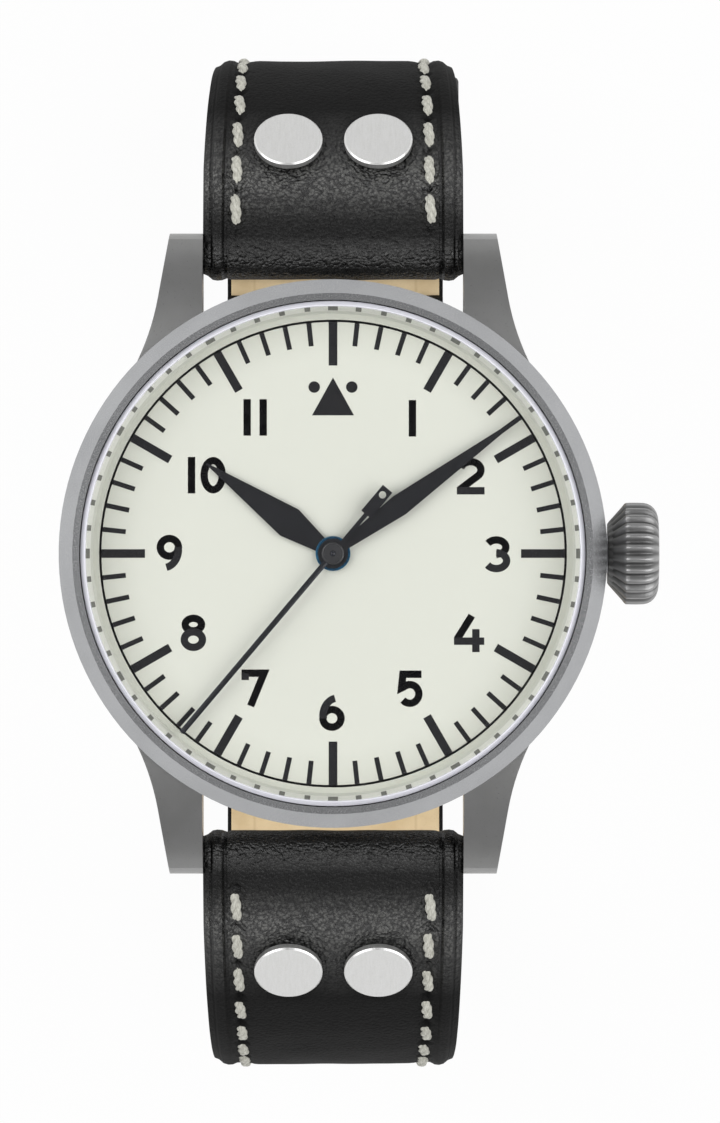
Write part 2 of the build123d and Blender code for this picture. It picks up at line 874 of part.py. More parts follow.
def escape_points():
    points = []
    step = 360 / escape_teeth
    for number in range(escape_teeth):
        points.append(around(escape_root_radius, number * step))
        points.append(around(escape_tip_radius, (number + escape_tooth_front) * step))
        points.append(around(escape_tip_radius, (number + escape_tooth_back) * step))
    return points


with BuildPart() as escape_wheel:
    with BuildSketch(Plane.XY.offset(escape_wheel_low)):
        with Locations(escape_place):
            Polygon(*escape_points(), align=None)
    extrude(amount=wheel_height)
    add(gear(escape_place, pinion_teeth, escape_pinion_pitch, escape_angle + 180 + half_pinion_step,
             bridge_high + pivot_clearance, escape_pinion_high - bridge_high - pivot_clearance))
    add(arbor(escape_place, arbor_radius, bridge_high + pivot_clearance, plate_low - pivot_clearance))
write(escape_wheel, "escape_wheel")


# A flat spiral band, wound in half turns about two centres
def spiral_band(place, inner, step, turns, band, low, high):
    with BuildPart() as piece:
        with BuildSketch(Plane((*place, low))):
            with BuildLine():
                inside = spiral_line(inner, step, turns)
                outside = spiral_line(inner + band, step, turns)
                add(inside)
                add(outside)
                Line(inside @ 0, outside @ 0)
                Line(inside @ 1, outside @ 1)
            make_face()
        extrude(amount=high - low)
    return piece


def spiral_line(inner, step, turns):
    with BuildLine() as line:
        end = (inner, 0)
        heading = (0, 1)
        for number in range(2 * turns):
            radius = inner + number * step / 2 + step / 4
            arc = JernArc(start=end, tangent=heading, radius=radius, arc_size=180)
            end = arc @ 1
            heading = arc % 1
    return line.wire()


# Barrel: a toothed drum with its cover, arbor and mainspring
with BuildPart() as barrel_drum:
    pitch = centre_to_barrel - centre_pinion_pitch
    half_step = 180 / barrel_teeth
    add(gear(barrel_place, barrel_teeth, pitch, barrel_angle + 180 + half_step,
             barrel_teeth_low, barrel_high - barrel_teeth_low))
    add(post(barrel_place, drum_radius, barrel_low + cover_height, barrel_high))
    add(post(barrel_place, drum_radius - drum_wall, barrel_low - overrun, barrel_high - cover_height),
        mode=Mode.SUBTRACT)
    add(post(barrel_place, barrel_arbor_end + pivot_clearance, barrel_low, barrel_high + overrun),
        mode=Mode.SUBTRACT)
write(barrel_drum, "barrel_drum")

with BuildPart() as barrel_cover:
    add(post(barrel_place, drum_radius, barrel_low, barrel_low + cover_height))
    add(post(barrel_place, barrel_arbor_end + pivot_clearance, barrel_low - overrun, barrel_high),
        mode=Mode.SUBTRACT)
write(barrel_cover, "barrel_cover")

with BuildPart() as barrel_arbor:
    add(post(barrel_place, barrel_arbor_end, bridge_low, plate_low))
    add(post(barrel_place, barrel_arbor_radius, barrel_low + cover_height + pivot_clearance,
             barrel_high - cover_height - pivot_clearance))
write(barrel_arbor, "barrel_arbor")
write(spiral_band(barrel_place, mainspring_inner, mainspring_step, mainspring_turns, mainspring_band,
                  barrel_low + cover_height + mainspring_gap, barrel_high - cover_height - mainspring_gap),
      "mainspring")

# Balance wheel on its staff, with the hairspring under it
with BuildPart() as balance_wheel:
    with BuildSketch(Plane.XY.offset(balance_low)):
        with Locations(balance_place):
            Circle(balance_radius)
            Circle(balance_radius - balance_rim, mode=Mode.SUBTRACT)
            Rectangle(2 * balance_radius - balance_rim, balance_arm, rotation=balance_angle)
            Circle(balance_hub)
    extrude(amount=balance_high - balance_low)
    add(post(balance_place, roller_radius, roller_low, roller_high))
    add(arbor(balance_place, arbor_radius, cock_high + pivot_clearance, plate_low - pivot_clearance))
write(balance_wheel, "balance_wheel")
write(spiral_band(balance_place, hairspring_inner, hairspring_step, hairspring_turns, hairspring_band,
                  hairspring_low, hairspring_high), "hairspring")

# Pallet fork between the escape wheel and the roller
with BuildPart() as pallet_fork:
    fork_heading = (cos(radians(pallet_line)), sin(radians(pallet_line)), 0)
    fork_plane = Plane((*pallet_place, fork_low), x_dir=fork_heading)
    with BuildSketch(fork_plane):
        Rectangle(fork_length, fork_width, align=(Align.MIN, Align.CENTER))
        Circle(fork_width)
        for side in (-1, 1):
            SlotCenterPoint((-pallet_arm_forward / 2, side * pallet_arm_side / 2),
                            (-pallet_arm_forward, side * pallet_arm_side), pallet_arm_width)
    extrude(amount=fork_height)
    with BuildSketch(fork_plane.offset(-pallet_stone_drop)):
        with Locations((-pallet_arm_forward, pallet_arm_side), (-pallet_arm_forward, -pallet_arm_side)):
            Rectangle(pallet_stone, pallet_stone)
    extrude(amount=pallet_stone_drop)
    add(post(pallet_place, arbor_radius, fork_low, plate_low - pivot_clearance))
    add(post(pallet_place, pivot_radius, fork_low, plate_low + jewel_height))
write(pallet_fork, "pallet_fork")

# Motion works: minute wheel on its post in the plate, and the hour wheel with its pipe
with BuildPart() as minute_wheel:
    add(gear(motion_place, minute_wheel_teeth, motion_distance - cannon_pitch,
             motion_angle + 180 + 180 / minute_wheel_teeth, cannon_low, cannon_high - cannon_low))
    add(gear(motion_place, pinion_teeth, minute_pinion_pitch, motion_angle + 180 + half_pinion_step,
             cannon_high, hour_wheel_high - cannon_high))
    add(post(motion_place, motion_post_radius - 2 * pivot_clearance, plate_low, cannon_low))
write(minute_wheel, "minute_wheel")

with BuildPart() as hour_wheel:
    add(gear((0, 0), hour_wheel_teeth, motion_distance - minute_pinion_pitch, motion_angle,
             hour_wheel_low, hour_wheel_high - hour_wheel_low))
    add(post((0, 0), hour_pipe_radius, hour_wheel_low, hour_hand_low))
    add(post((0, 0), hour_pipe_bore, hour_wheel_low - overrun, hour_hand_low + overrun), mode=Mode.SUBTRACT)
write(hour_wheel, "hour_wheel")


# Hands, drawn pointing up and turned to ten past ten
def hand_plane(angle, level):
    turn = radians(angle)
    return Plane((0, 0, level), x_dir=(cos(turn), -sin(turn), 0), z_dir=(0, 0, 1))


def blade_points(neck, belly, width, reach):
    return [
        (-neck / 2, 0),
        (-width / 2, belly),
        (-hand_tip_width / 2, reach),
        (hand_tip_width / 2, reach),
        (width / 2, belly),
        (neck / 2, 0),
    ]


with BuildPart() as hour_hand:
    with BuildSketch(hand_plane(hour_hand_angle, hour_hand_low)):
        Polygon(*blade_points(hour_hand_neck, hour_hand_belly, hour_hand_width, hour_hand_reach), align=None)
        Circle(hour_hub_radius)
        Circle(hour_pipe_bore, mode=Mode.SUBTRACT)
    extrude(amount=hand_height)
write(hour_hand, "hour_hand")

with BuildPart() as minute_hand:
    with BuildSketch(hand_plane(minute_hand_angle, minute_hand_low)):
        minute_blade = blade_points(minute_hand_neck, minute_hand_belly, minute_hand_width, minute_hand_reach)
        Polygon(*minute_blade, align=None)
        Circle(minute_hub_radius)
        Circle(centre_arbor_radius, mode=Mode.SUBTRACT)
    extrude(amount=hand_height)
write(minute_hand, "minute_hand")

with BuildPart() as second_hand:
    with BuildSketch(hand_plane(second_hand_angle, second_hand_low)):
        Polygon(
            (-second_hand_width / 2, 0),
            (-second_tip_width / 2, second_hand_reach),
            (second_tip_width / 2, second_hand_reach),
            (second_hand_width / 2, 0),
            align=None,
        )
        Rectangle(tail_width, 2 * counterweight_start)
        with Locations((0, -(counterweight_start + counterweight_end) / 2)):
            Rectangle(counterweight_width, counterweight_end - counterweight_start)
        Circle(second_hub_radius)
        Circle(fourth_arbor_radius, mode=Mode.SUBTRACT)
        with Locations((0, -counterweight_hole_place)):
            Circle(counterweight_hole, mode=Mode.SUBTRACT)
    extrude(amount=hand_height)
write(second_hand, "second_hand")

# Rotor: a half disc with a heavy rim, on a bearing that hangs under the bridge
with BuildPart() as rotor:
    with BuildSketch(Plane.XY.offset(rotor_low)):
        Circle(rotor_radius)
        Circle(rotor_radius - rotor_rim, mode=Mode.SUBTRACT)
        Rectangle(2 * rotor_radius + overrun, rotor_radius + overrun,
                  align=(Align.CENTER, Align.MIN), mode=Mode.SUBTRACT)
    extrude(amount=rotor_rim_height)
    with BuildSketch(Plane.XY.offset(rotor_low)):
        with PolarLocations(0, rotor_spokes, start_angle=rotor_spoke_start, angular_range=rotor_spoke_range):
            Rectangle(rotor_radius - rotor_rim / 2, rotor_spoke_width, align=(Align.MIN, Align.CENTER))
        Circle(rotor_hub)
        Circle(rotor_bore, mode=Mode.SUBTRACT)
    extrude(amount=rotor_web)
write(rotor, "rotor")

with BuildPart() as rotor_bearing:
    add(post((0, 0), bearing_radius, rotor_low, bridge_low))
    add(post((0, 0), bearing_flange, rotor_low + rotor_web + bearing_gap, bridge_low))
write(rotor_bearing, "rotor_bearing")


# Spring bars: a tube with a spring tip at each end
def spring_bar(reach, height, half, tip):
    with BuildPart() as piece:
        add(rod(height, bar_radius, -half, half, reach))
        add(rod(height, bar_tip_radius, -half - tip, half + tip, reach))
    return piece


write(spring_bar(bar_reach, bar_height, bar_half, bar_tip_length), "spring_bar_12")
write(spring_bar(-bar_reach, bar_height, bar_half, bar_tip_length), "spring_bar_6")

# The strap runs along straight and curved stretches, each with a radius (0 if straight) and a length.
# Every layer is a band at a depth under the outer face.
plane_12 = Plane((0, 0, 0), x_dir=(0, 1, 0), z_dir=(1, 0, 0))
plane_6 = Plane((0, 0, 0), x_dir=(0, -1, 0), z_dir=(-1, 0, 0))
core = 2 * (bar_radius + tunnel_clearance)
lining_depth = leather + core
folded_depth = lining_depth + leather
corner_level = floor_level + corner_radius
corner_length = corner_radius * radians(90)


def half_runs(tilt, shoulder, floor_run):
    shoulder_level = bar_height - (shoulder - strap_fold_radius) * cos(radians(tilt))
    return [
        (shoulder, shoulder * radians(90 - tilt)),
        (0, shoulder_level - corner_level),
        (corner_radius, corner_length),
        (0, floor_run),
    ]


def strap_frame(runs, tilt, distance):
    heading = Vector(cos(radians(tilt)), -sin(radians(tilt)))
    place = Vector(bar_reach, bar_height) + heading.rotate(Axis.Z, 90) * strap_fold_radius
    left = distance
    for radius, length in runs:
        step = min(left, length)
        if radius:
            centre = place + heading.rotate(Axis.Z, -90) * radius
            turn = -degrees(step / radius)
            place = centre + (place - centre).rotate(Axis.Z, turn)
            heading = heading.rotate(Axis.Z, turn)
        else:
            place = place + heading * step
        left -= step
    return place, heading


def strap_edge(runs, tilt, begin, end, depth):
    with BuildLine() as edge:
        passed = 0
        for radius, length in runs:
            first = max(begin, passed)
            last = min(end, passed + length)
            if last > first:
                place, heading = strap_frame(runs, tilt, first)
                start = place + heading.rotate(Axis.Z, -90) * depth
                if radius:
                    turn = -degrees((last - first) / radius)
                    JernArc(start=start, tangent=heading, radius=radius - depth, arc_size=turn)
                else:
                    Line(start, start + heading * (last - first))
            passed += length
    return edge.wire()


def strap_layer(runs, tilt, begin, end, near, far):
    with BuildSketch() as layer:
        with BuildLine():
            upper = strap_edge(runs, tilt, begin, end, near)
            lower = strap_edge(runs, tilt, begin, end, far)
            add(upper)
            add(lower)
            Line(upper @ 0, lower @ 0)
            Line(upper @ 1, lower @ 1)
        make_face()
    return layer.sketch


# A fold of leather round a bar at one end of a run: half a disc, open towards the run
def strap_fold(runs, tilt, distance, outwards):
    place, heading = strap_frame(runs, tilt, distance)
    middle = place + heading.rotate(Axis.Z, -90) * strap_fold_radius
    turn = degrees(atan2(outwards * heading.Y, outwards * heading.X))
    with BuildSketch() as fold:
        with Locations((middle.X, middle.Y)):
            Circle(strap_fold_radius)
            Rectangle(strap_fold_radius, 2 * strap_fold_radius, rotation=turn,
                      align=(Align.MIN, Align.CENTER), mode=Mode.SUBTRACT)
    return fold.sketch, middle


def strap_width():
    with BuildPart() as wedge:
        with BuildSketch(Plane.XZ):
            with BuildLine():
                Polyline(
                    (-strap_half_at_case, bar_height + leather + overrun + bar_reach),
                    (-strap_half_at_case, strap_full_level),
                    (-strap_half_at_floor, strap_slim_level),
                    (-strap_half_at_floor, floor_level - overrun),
                    (strap_half_at_floor, floor_level - overrun),
                    (strap_half_at_floor, strap_slim_level),
                    (strap_half_at_case, strap_full_level),
                    (strap_half_at_case, bar_height + leather + overrun + bar_reach),
                    close=True,
                )
            make_face()
        extrude(amount=-floor_level, both=True)
    return wedge.part


def tunnel_at(plane, middle, radius):
    with BuildPart() as piece:
        with BuildSketch(plane):
            with Locations((middle.X, middle.Y)):
                Circle(radius)
        extrude(amount=bar_reach, both=True)
    return piece.part


def across_strap(plane, runs, tilt, distance, depth, side):
    place, heading = strap_frame(runs, tilt, distance)
    outwards = heading.rotate(Axis.Z, 90)
    spot = place - outwards * depth
    origin = plane.from_local_coords((spot.X, spot.Y, 0)) + Vector(side, 0, 0)
    tip = plane.from_local_coords((outwards.X, outwards.Y, 0)) - plane.origin
    return Plane(origin, x_dir=(1, 0, 0), z_dir=tip)


def rivet_distance(tilt, shoulder, turn):
    return shoulder * radians(turn - tilt)


runs_12 = half_runs(buckle_half_angle, buckle_half_shoulder, buckle_half_length)
rivets_at_12 = rivet_distance(buckle_half_angle, buckle_half_shoulder, rivet_angle_12)
rivets_at_6 = rivet_distance(hole_half_angle, hole_half_shoulder, rivet_angle_6)
tunnel_radius = bar_radius + tunnel_clearance
case_fold_12, bar_middle_12 = strap_fold(runs_12, buckle_half_angle, 0, 1)
buckle_fold, buckle_middle = strap_fold(runs_12, buckle_half_angle, buckle_half_length, -1)

# The hole half lies on the floor as far as the buckle
buckle_reach = buckle_middle.X
buckle_level = buckle_middle.Y
frame_end = buckle_reach - frame_reach
bent_6 = half_runs(hole_half_angle, hole_half_shoulder, 0)
bent_6_length = sum(length for radius, length in bent_6)
bent_6_end = strap_frame(bent_6, hole_half_angle, bent_6_length)[0]
floor_run_6 = bent_6_end.X + frame_end - tongue_overhang - tail_gap
runs_6 = half_runs(hole_half_angle, hole_half_shoulder, floor_run_6)
hole_half_length = bent_6_length + floor_run_6
case_fold_6, bar_middle_6 = strap_fold(runs_6, hole_half_angle, 0, 1)


def rivet_holes(plane, runs, tilt, distance):
    with BuildPart() as holes:
        for side in (-rivet_side, rivet_side):
            with BuildSketch(across_strap(plane, runs, tilt, distance, folded_depth + overrun, side)):
                Circle(rivet_shank + rivet_hole_clearance)
            extrude(amount=folded_depth + 2 * overrun)
    return holes.part


# Buckle half: outer leather folded round both bars, with a slot for the tongue
with BuildPart() as strap_12_leather:
    with BuildSketch(plane_12):
        add(case_fold_12)
        add(buckle_fold)
        add(strap_layer(runs_12, buckle_half_angle, 0, buckle_half_length, 0, leather))
        add(strap_layer(runs_12, buckle_half_angle, 0, case_flap, lining_depth, folded_depth))
        add(strap_layer(runs_12, buckle_half_angle, buckle_half_length - buckle_flap, buckle_half_length,
                        lining_depth, folded_depth))
    extrude(amount=bar_reach, both=True)
    add(strap_width(), mode=Mode.INTERSECT)
    add(tunnel_at(plane_12, bar_middle_12, tunnel_radius), mode=Mode.SUBTRACT)
    add(tunnel_at(plane_12, buckle_middle, tunnel_radius), mode=Mode.SUBTRACT)
    add(rivet_holes(plane_12, runs_12, buckle_half_angle, rivets_at_12), mode=Mode.SUBTRACT)
    with BuildSketch(plane_12):
        with Locations((buckle_middle.X, buckle_middle.Y)):
            Circle(strap_fold_radius + tongue_slot_gap)
    extrude(amount=tongue_width / 2 + tongue_slot_gap, both=True, mode=Mode.SUBTRACT)
write(strap_12_leather, "strap_12_leather")

with BuildPart() as strap_12_lining:
    with BuildSketch(plane_12):
        add(strap_layer(runs_12, buckle_half_angle, 0, buckle_half_length, leather, lining_depth))
    extrude(amount=bar_reach, both=True)
    add(strap_width(), mode=Mode.INTERSECT)
    add(tunnel_at(plane_12, bar_middle_12, lining_start), mode=Mode.SUBTRACT)
    add(tunnel_at(plane_12, buckle_middle, lining_start), mode=Mode.SUBTRACT)
    add(rivet_holes(plane_12, runs_12, buckle_half_angle, rivets_at_12), mode=Mode.SUBTRACT)
    with BuildSketch(plane_12):
        with Locations((buckle_middle.X, buckle_middle.Y)):
            Circle(strap_fold_radius + tongue_slot_gap)
    extrude(amount=tongue_width / 2 + tongue_slot_gap, both=True, mode=Mode.SUBTRACT)
write(strap_12_lining, "strap_12_lining")


# Pointed end of the hole half and its row of holes
def pointed_end():
    end = -strap_frame(runs_6, hole_half_angle, hole_half_length)[0].X
    with BuildPart() as corners:
        with BuildSketch(Plane.XY.offset(floor_level - overrun)):
            for side in (-1, 1):
                edge = side * strap_half_at_floor
                Polygon((edge + side * overrun, end - tip_taper), (edge, end - tip_taper),
                        (side * tip_half, end), (side * tip_half, end + overrun),
                        (edge + side * overrun, end + overrun), align=None)
        extrude(amount=folded_depth + 2 * overrun)
    return corners.part


def strap_holes():
    with BuildPart() as holes:
        for number in range(hole_count):
            distance = hole_half_length - first_hole - number * hole_pitch
            with BuildSketch(across_strap(plane_6, runs_6, hole_half_angle, distance, folded_depth, 0)):
                Circle(hole_radius)
            extrude(amount=folded_depth + overrun)
    return holes.part


with BuildPart() as strap_6_leather:
    with BuildSketch(plane_6):
        add(case_fold_6)
        add(strap_layer(runs_6, hole_half_angle, 0, hole_half_length, 0, leather))
        add(strap_layer(runs_6, hole_half_angle, 0, case_flap, lining_depth, folded_depth))
    extrude(amount=bar_reach, both=True)
    add(strap_width(), mode=Mode.INTERSECT)
    add(tunnel_at(plane_6, bar_middle_6, tunnel_radius), mode=Mode.SUBTRACT)
    add(rivet_holes(plane_6, runs_6, hole_half_angle, rivets_at_6), mode=Mode.SUBTRACT)
    add(strap_holes(), mode=Mode.SUBTRACT)
    add(pointed_end(), mode=Mode.SUBTRACT)
write(strap_6_leather, "strap_6_leather")

with BuildPart() as strap_6_lining:
    with BuildSketch(plane_6):
        add(strap_layer(runs_6, hole_half_angle, 0, hole_half_length, leather, lining_depth))
    extrude(amount=bar_reach, both=True)
    add(strap_width(), mode=Mode.INTERSECT)
    add(tunnel_at(plane_6, bar_middle_6, lining_start), mode=Mode.SUBTRACT)
    add(rivet_holes(plane_6, runs_6, hole_half_angle, rivets_at_6), mode=Mode.SUBTRACT)
    add(strap_holes(), mode=Mode.SUBTRACT)
    add(pointed_end(), mode=Mode.SUBTRACT)
write(strap_6_lining, "strap_6_lining")


# Rivets and the washers that they are closed over
def rivets(plane, runs, tilt, distance):
    with BuildPart() as pair:
        for side in (-rivet_side, rivet_side):
            washer_face = folded_depth + washer_gap + washer_height
            with BuildSketch(across_strap(plane, runs, tilt, distance, washer_face, side)):
                Circle(rivet_shank)
            extrude(amount=washer_face)
            crown_depth = rivet_crown - rivet_head_height
            with BuildSketch(across_strap(plane, runs, tilt, distance, 0, side)):
                Circle(rivet_head_radius)
            extrude(amount=-crown_depth)
            with BuildSketch(across_strap(plane, runs, tilt, distance, crown_depth, side)):
                Circle(rivet_head_radius)
            extrude(amount=rivet_crown, taper=rivet_crown_angle)
    return pair


def rivet_washers(plane, runs, tilt, distance):
    with BuildPart() as pair:
        for side in (-rivet_side, rivet_side):
            washer_face = folded_depth + washer_gap + washer_height
            with BuildSketch(across_strap(plane, runs, tilt, distance, washer_face, side)):
                Circle(washer_radius)
                Circle(rivet_shank, mode=Mode.SUBTRACT)
            extrude(amount=washer_height)
    return pair


write(rivets(plane_12, runs_12, buckle_half_angle, rivets_at_12), "rivets_12")
write(rivets(plane_6, runs_6, hole_half_angle, rivets_at_6), "rivets_6")
write(rivet_washers(plane_12, runs_12, buckle_half_angle, rivets_at_12), "rivet_washers_12")
write(rivet_washers(plane_6, runs_6, hole_half_angle, rivets_at_6), "rivet_washers_6")

# Buckle: an open frame whose ears hold the bar, with the tongue lying on its far side
with BuildPart() as buckle_frame:
    with BuildSketch(Plane.XY.offset(buckle_level - frame_height / 2)):
        with Locations((0, (frame_end + buckle_reach + frame_ear) / 2)):
            RectangleRounded(2 * (frame_half_inside + frame_arm), frame_reach + frame_ear, frame_arm)
        with Locations((0, frame_end + frame_bar)):
            Rectangle(2 * frame_half_inside, frame_reach + frame_ear,
                      align=(Align.CENTER, Align.MIN), mode=Mode.SUBTRACT)
    extrude(amount=frame_height)
    long_edges = buckle_frame.edges().filter_by(Axis.X).group_by(Axis.Y)[0]
    fillet(long_edges, radius=frame_round)
    ear_hole = bar_tip_radius + pivot_clearance
    ear_reach = buckle_bar_half + buckle_bar_tip
    add(rod(buckle_level, ear_hole, -ear_reach, ear_reach, buckle_reach), mode=Mode.SUBTRACT)
write(buckle_frame, "buckle_frame")
write(spring_bar(buckle_reach, buckle_level, buckle_bar_half, buckle_bar_tip), "buckle_bar")

with BuildPart() as buckle_tongue:
    tongue_top = buckle_level - frame_height / 2 - tongue_gap
    with BuildSketch(plane_12):
        with Locations((buckle_reach, buckle_level)):
            Circle(tongue_ring)
        Polygon(
            (buckle_reach, buckle_level),
            (buckle_reach - tongue_ring, tongue_top),
            (frame_end - tongue_overhang, tongue_top),
            (frame_end - tongue_overhang, tongue_top - tongue_height / 2),
            (buckle_reach - tongue_ring, tongue_top - tongue_height),
            (buckle_reach, buckle_level - tongue_ring),
            align=None,
        )
        with Locations((buckle_reach, buckle_level)):
            Circle(bar_radius + pivot_clearance, mode=Mode.SUBTRACT)
    extrude(amount=tongue_width / 2, both=True)
write(buckle_tongue, "buckle_tongue")


# Keepers: square loops bent round the strap's lower corner
def keeper(start):
    corner_start = runs_12[0][1] + runs_12[1][1]
    centre_reach = strap_frame(runs_12, buckle_half_angle, corner_start)[0].X - corner_radius
    begin = degrees((start - corner_start) / corner_radius)
    inner = corner_radius - lining_depth - keeper_gap
    outer = corner_radius + keeper_headroom
    spin = radians(begin)
    outwards = Vector(0, cos(spin), -sin(spin))
    with BuildPart() as loop:
        loop_normal = Vector(1, 0, 0).cross(outwards)
        loop_plane = Plane((0, centre_reach, corner_level), x_dir=(1, 0, 0), z_dir=loop_normal)
        with BuildSketch(loop_plane):
            with Locations((0, (inner + outer) / 2)):
                Rectangle(2 * (keeper_half_inside + keeper_wall), outer - inner + 2 * keeper_wall)
                Rectangle(2 * keeper_half_inside, outer - inner, mode=Mode.SUBTRACT)
        revolve(axis=Axis((0, centre_reach, corner_level), (-1, 0, 0)),
                revolution_arc=degrees(keeper_width / corner_radius))
    return loop


write(keeper(fixed_keeper_start), "fixed_keeper")
write(keeper(free_keeper_start), "free_keeper")
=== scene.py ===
import json
import bpy
from math import atan2, cos, hypot, pi, radians, sin
from mathutils import Matrix, Vector
from mathutils.noise import noise as smoothNoise

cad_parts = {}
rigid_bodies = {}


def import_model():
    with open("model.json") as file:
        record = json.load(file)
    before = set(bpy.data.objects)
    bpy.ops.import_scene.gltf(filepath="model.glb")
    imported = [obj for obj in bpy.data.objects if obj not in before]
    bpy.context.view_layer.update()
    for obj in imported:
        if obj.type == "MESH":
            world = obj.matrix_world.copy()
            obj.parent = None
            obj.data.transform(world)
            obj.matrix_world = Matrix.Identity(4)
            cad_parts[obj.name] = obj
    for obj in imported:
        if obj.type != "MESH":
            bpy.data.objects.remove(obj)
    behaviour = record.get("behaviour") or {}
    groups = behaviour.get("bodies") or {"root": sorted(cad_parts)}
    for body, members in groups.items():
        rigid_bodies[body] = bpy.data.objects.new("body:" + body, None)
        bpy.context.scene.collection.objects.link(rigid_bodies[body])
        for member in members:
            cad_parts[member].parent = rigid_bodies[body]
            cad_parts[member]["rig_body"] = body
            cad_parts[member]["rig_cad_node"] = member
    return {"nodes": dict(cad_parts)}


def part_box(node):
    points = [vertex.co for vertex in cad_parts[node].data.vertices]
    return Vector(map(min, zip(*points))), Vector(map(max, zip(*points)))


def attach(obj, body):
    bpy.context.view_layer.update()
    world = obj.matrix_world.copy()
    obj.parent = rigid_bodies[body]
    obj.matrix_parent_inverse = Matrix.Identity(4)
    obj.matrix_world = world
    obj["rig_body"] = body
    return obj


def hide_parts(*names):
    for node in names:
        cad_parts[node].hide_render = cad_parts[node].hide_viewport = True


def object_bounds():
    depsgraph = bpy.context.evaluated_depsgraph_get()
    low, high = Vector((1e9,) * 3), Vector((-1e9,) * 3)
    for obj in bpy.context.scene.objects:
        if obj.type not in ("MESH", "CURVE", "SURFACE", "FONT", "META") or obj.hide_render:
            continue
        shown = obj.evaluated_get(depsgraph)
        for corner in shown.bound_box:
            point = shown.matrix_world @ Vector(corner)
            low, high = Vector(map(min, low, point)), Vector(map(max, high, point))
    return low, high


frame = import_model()

# A pilot's watch seen from straight above, in metres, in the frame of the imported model
nodes = frame["nodes"]
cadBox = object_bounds()
mm = 0.001


def linked(name, data):
    made = bpy.data.objects.new(name, data)
    bpy.context.scene.collection.objects.link(made)
    return made


# Camera
camera = {"height": 0.690, "aimX": 0.00207, "aimY": -0.00061, "frameHeight": 0.0859, "focusLevel": 0.0100,
          "sensor": 24.0, "near": 0.01, "far": 20.0}
cameraData = bpy.data.cameras.new("camera")
cameraData.sensor_fit = "VERTICAL"
cameraData.sensor_height = camera["sensor"]
cameraData.lens = camera["sensor"] * (camera["height"] - camera["focusLevel"]) / camera["frameHeight"]
cameraData.clip_start = camera["near"]
cameraData.clip_end = camera["far"]
cameraObject = linked("camera", cameraData)
cameraObject.location = (camera["aimX"], camera["aimY"], camera["height"])
bpy.context.scene.camera = cameraObject
print("camera set")


# Shader maths: a socket with the usual operators
class Wire:
    def __init__(self, tree, socket):
        self.tree = tree
        self.socket = socket

    def maths(self, operation, *values):
        return self.tree.node("ShaderNodeMath", {"operation": operation}, dict(enumerate(values)))

    def __abs__(self):
        return self.maths("ABSOLUTE", self)

    def __add__(self, other):
        return self.maths("ADD", self, other)

    def __sub__(self, other):
        return self.maths("SUBTRACT", self, other)

    def __rsub__(self, other):
        return self.maths("SUBTRACT", other, self)

    def __mul__(self, other):
        return self.maths("MULTIPLY", self, other)

    def __gt__(self, other):
        return self.maths("GREATER_THAN", self, other)

    def __pow__(self, other):
        return self.maths("POWER", self, other)

    __radd__ = __add__
    __rmul__ = __mul__


# Colours are given in shares of 255, as a screen shows them
def linear(colour):
    parts = [value / 255 for value in colour]
    return [part / 12.92 if part < 0.04045 else ((part + 0.055) / 1.055) ** 2.4 for part in parts] + [1.0]


# A node tree with one method for every kind of node used here
class Nodes:
    def __init__(self, tree, surface, output):
        self.tree = tree
        self.surface = tree.nodes[surface]
        self.output = tree.nodes[output]

    def fill(self, socket, value):
        if isinstance(value, Wire):
            self.tree.links.new(value.socket, socket)
        elif socket.type == "RGBA" and len(value) == 3:
            socket.default_value = linear(value)
        else:
            socket.default_value = value

    def node(self, kind, settings=None, inputs=None, output=0):
        made = self.tree.nodes.new(kind)
        for key, value in (settings or {}).items():
            setattr(made, key, value)
        for key, value in (inputs or {}).items():
            self.fill(made.inputs[key], value)
        return Wire(self, made.outputs[output])

    def put(self, **values):
        for key, value in values.items():
            self.fill(self.surface.inputs[key.replace("_", " ")], value)

    def cover(self, factor, other):
        under = Wire(self, self.surface.outputs[0])
        mixed = self.node("ShaderNodeMixShader", inputs={0: factor, 1: under, 2: other})
        self.tree.links.new(mixed.socket, self.output.inputs["Surface"])

    def place(self, output="Object"):
        return self.node("ShaderNodeTexCoord", output=output)

    def parts(self, vector):
        split = self.node("ShaderNodeSeparateXYZ", inputs={0: vector})
        return [Wire(self, socket) for socket in split.socket.node.outputs]

    def noise(self, vector, scale, detail=3.0, rough=0.6):
        inputs = {"Vector": vector, "Scale": scale, "Detail": detail, "Roughness": rough}
        return self.node("ShaderNodeTexNoise", inputs=inputs)

    def stretched(self, vector, x, y, z):
        return self.node("ShaderNodeVectorMath", {"operation": "MULTIPLY"}, {0: vector, 1: (x, y, z)})

    def range(self, value, low, high, newLow=0.0, newHigh=1.0, curve="LINEAR"):
        inputs = {"Value": value, "From Min": low, "From Max": high, "To Min": newLow, "To Max": newHigh}
        return self.node("ShaderNodeMapRange", {"interpolation_type": curve}, inputs)

    def blend(self, factor, first, second):
        return self.node("ShaderNodeMix", {"data_type": "RGBA"}, {0: factor, 6: first, 7: second}, output=2)

    def mottled(self, pattern, look, low=0.35, high=0.65):
        return self.blend(self.range(pattern, low, high), look["colour"], look["shade"])

    def bump(self, height, distance, strength=1.0):
        inputs = {"Height": height, "Distance": distance, "Strength": strength}
        return self.node("ShaderNodeBump", inputs=inputs)


class Shader(Nodes):
    def __init__(self, name):
        self.material = bpy.data.materials.new(name)
        self.material.use_nodes = True
        super().__init__(self.material.node_tree, "Principled BSDF", "Material Output")


materials = {}


def makeAll(recipe, looks):
    for name, look in looks.items():
        tree = Shader(name)
        recipe(tree, look)
        materials[name] = tree.material


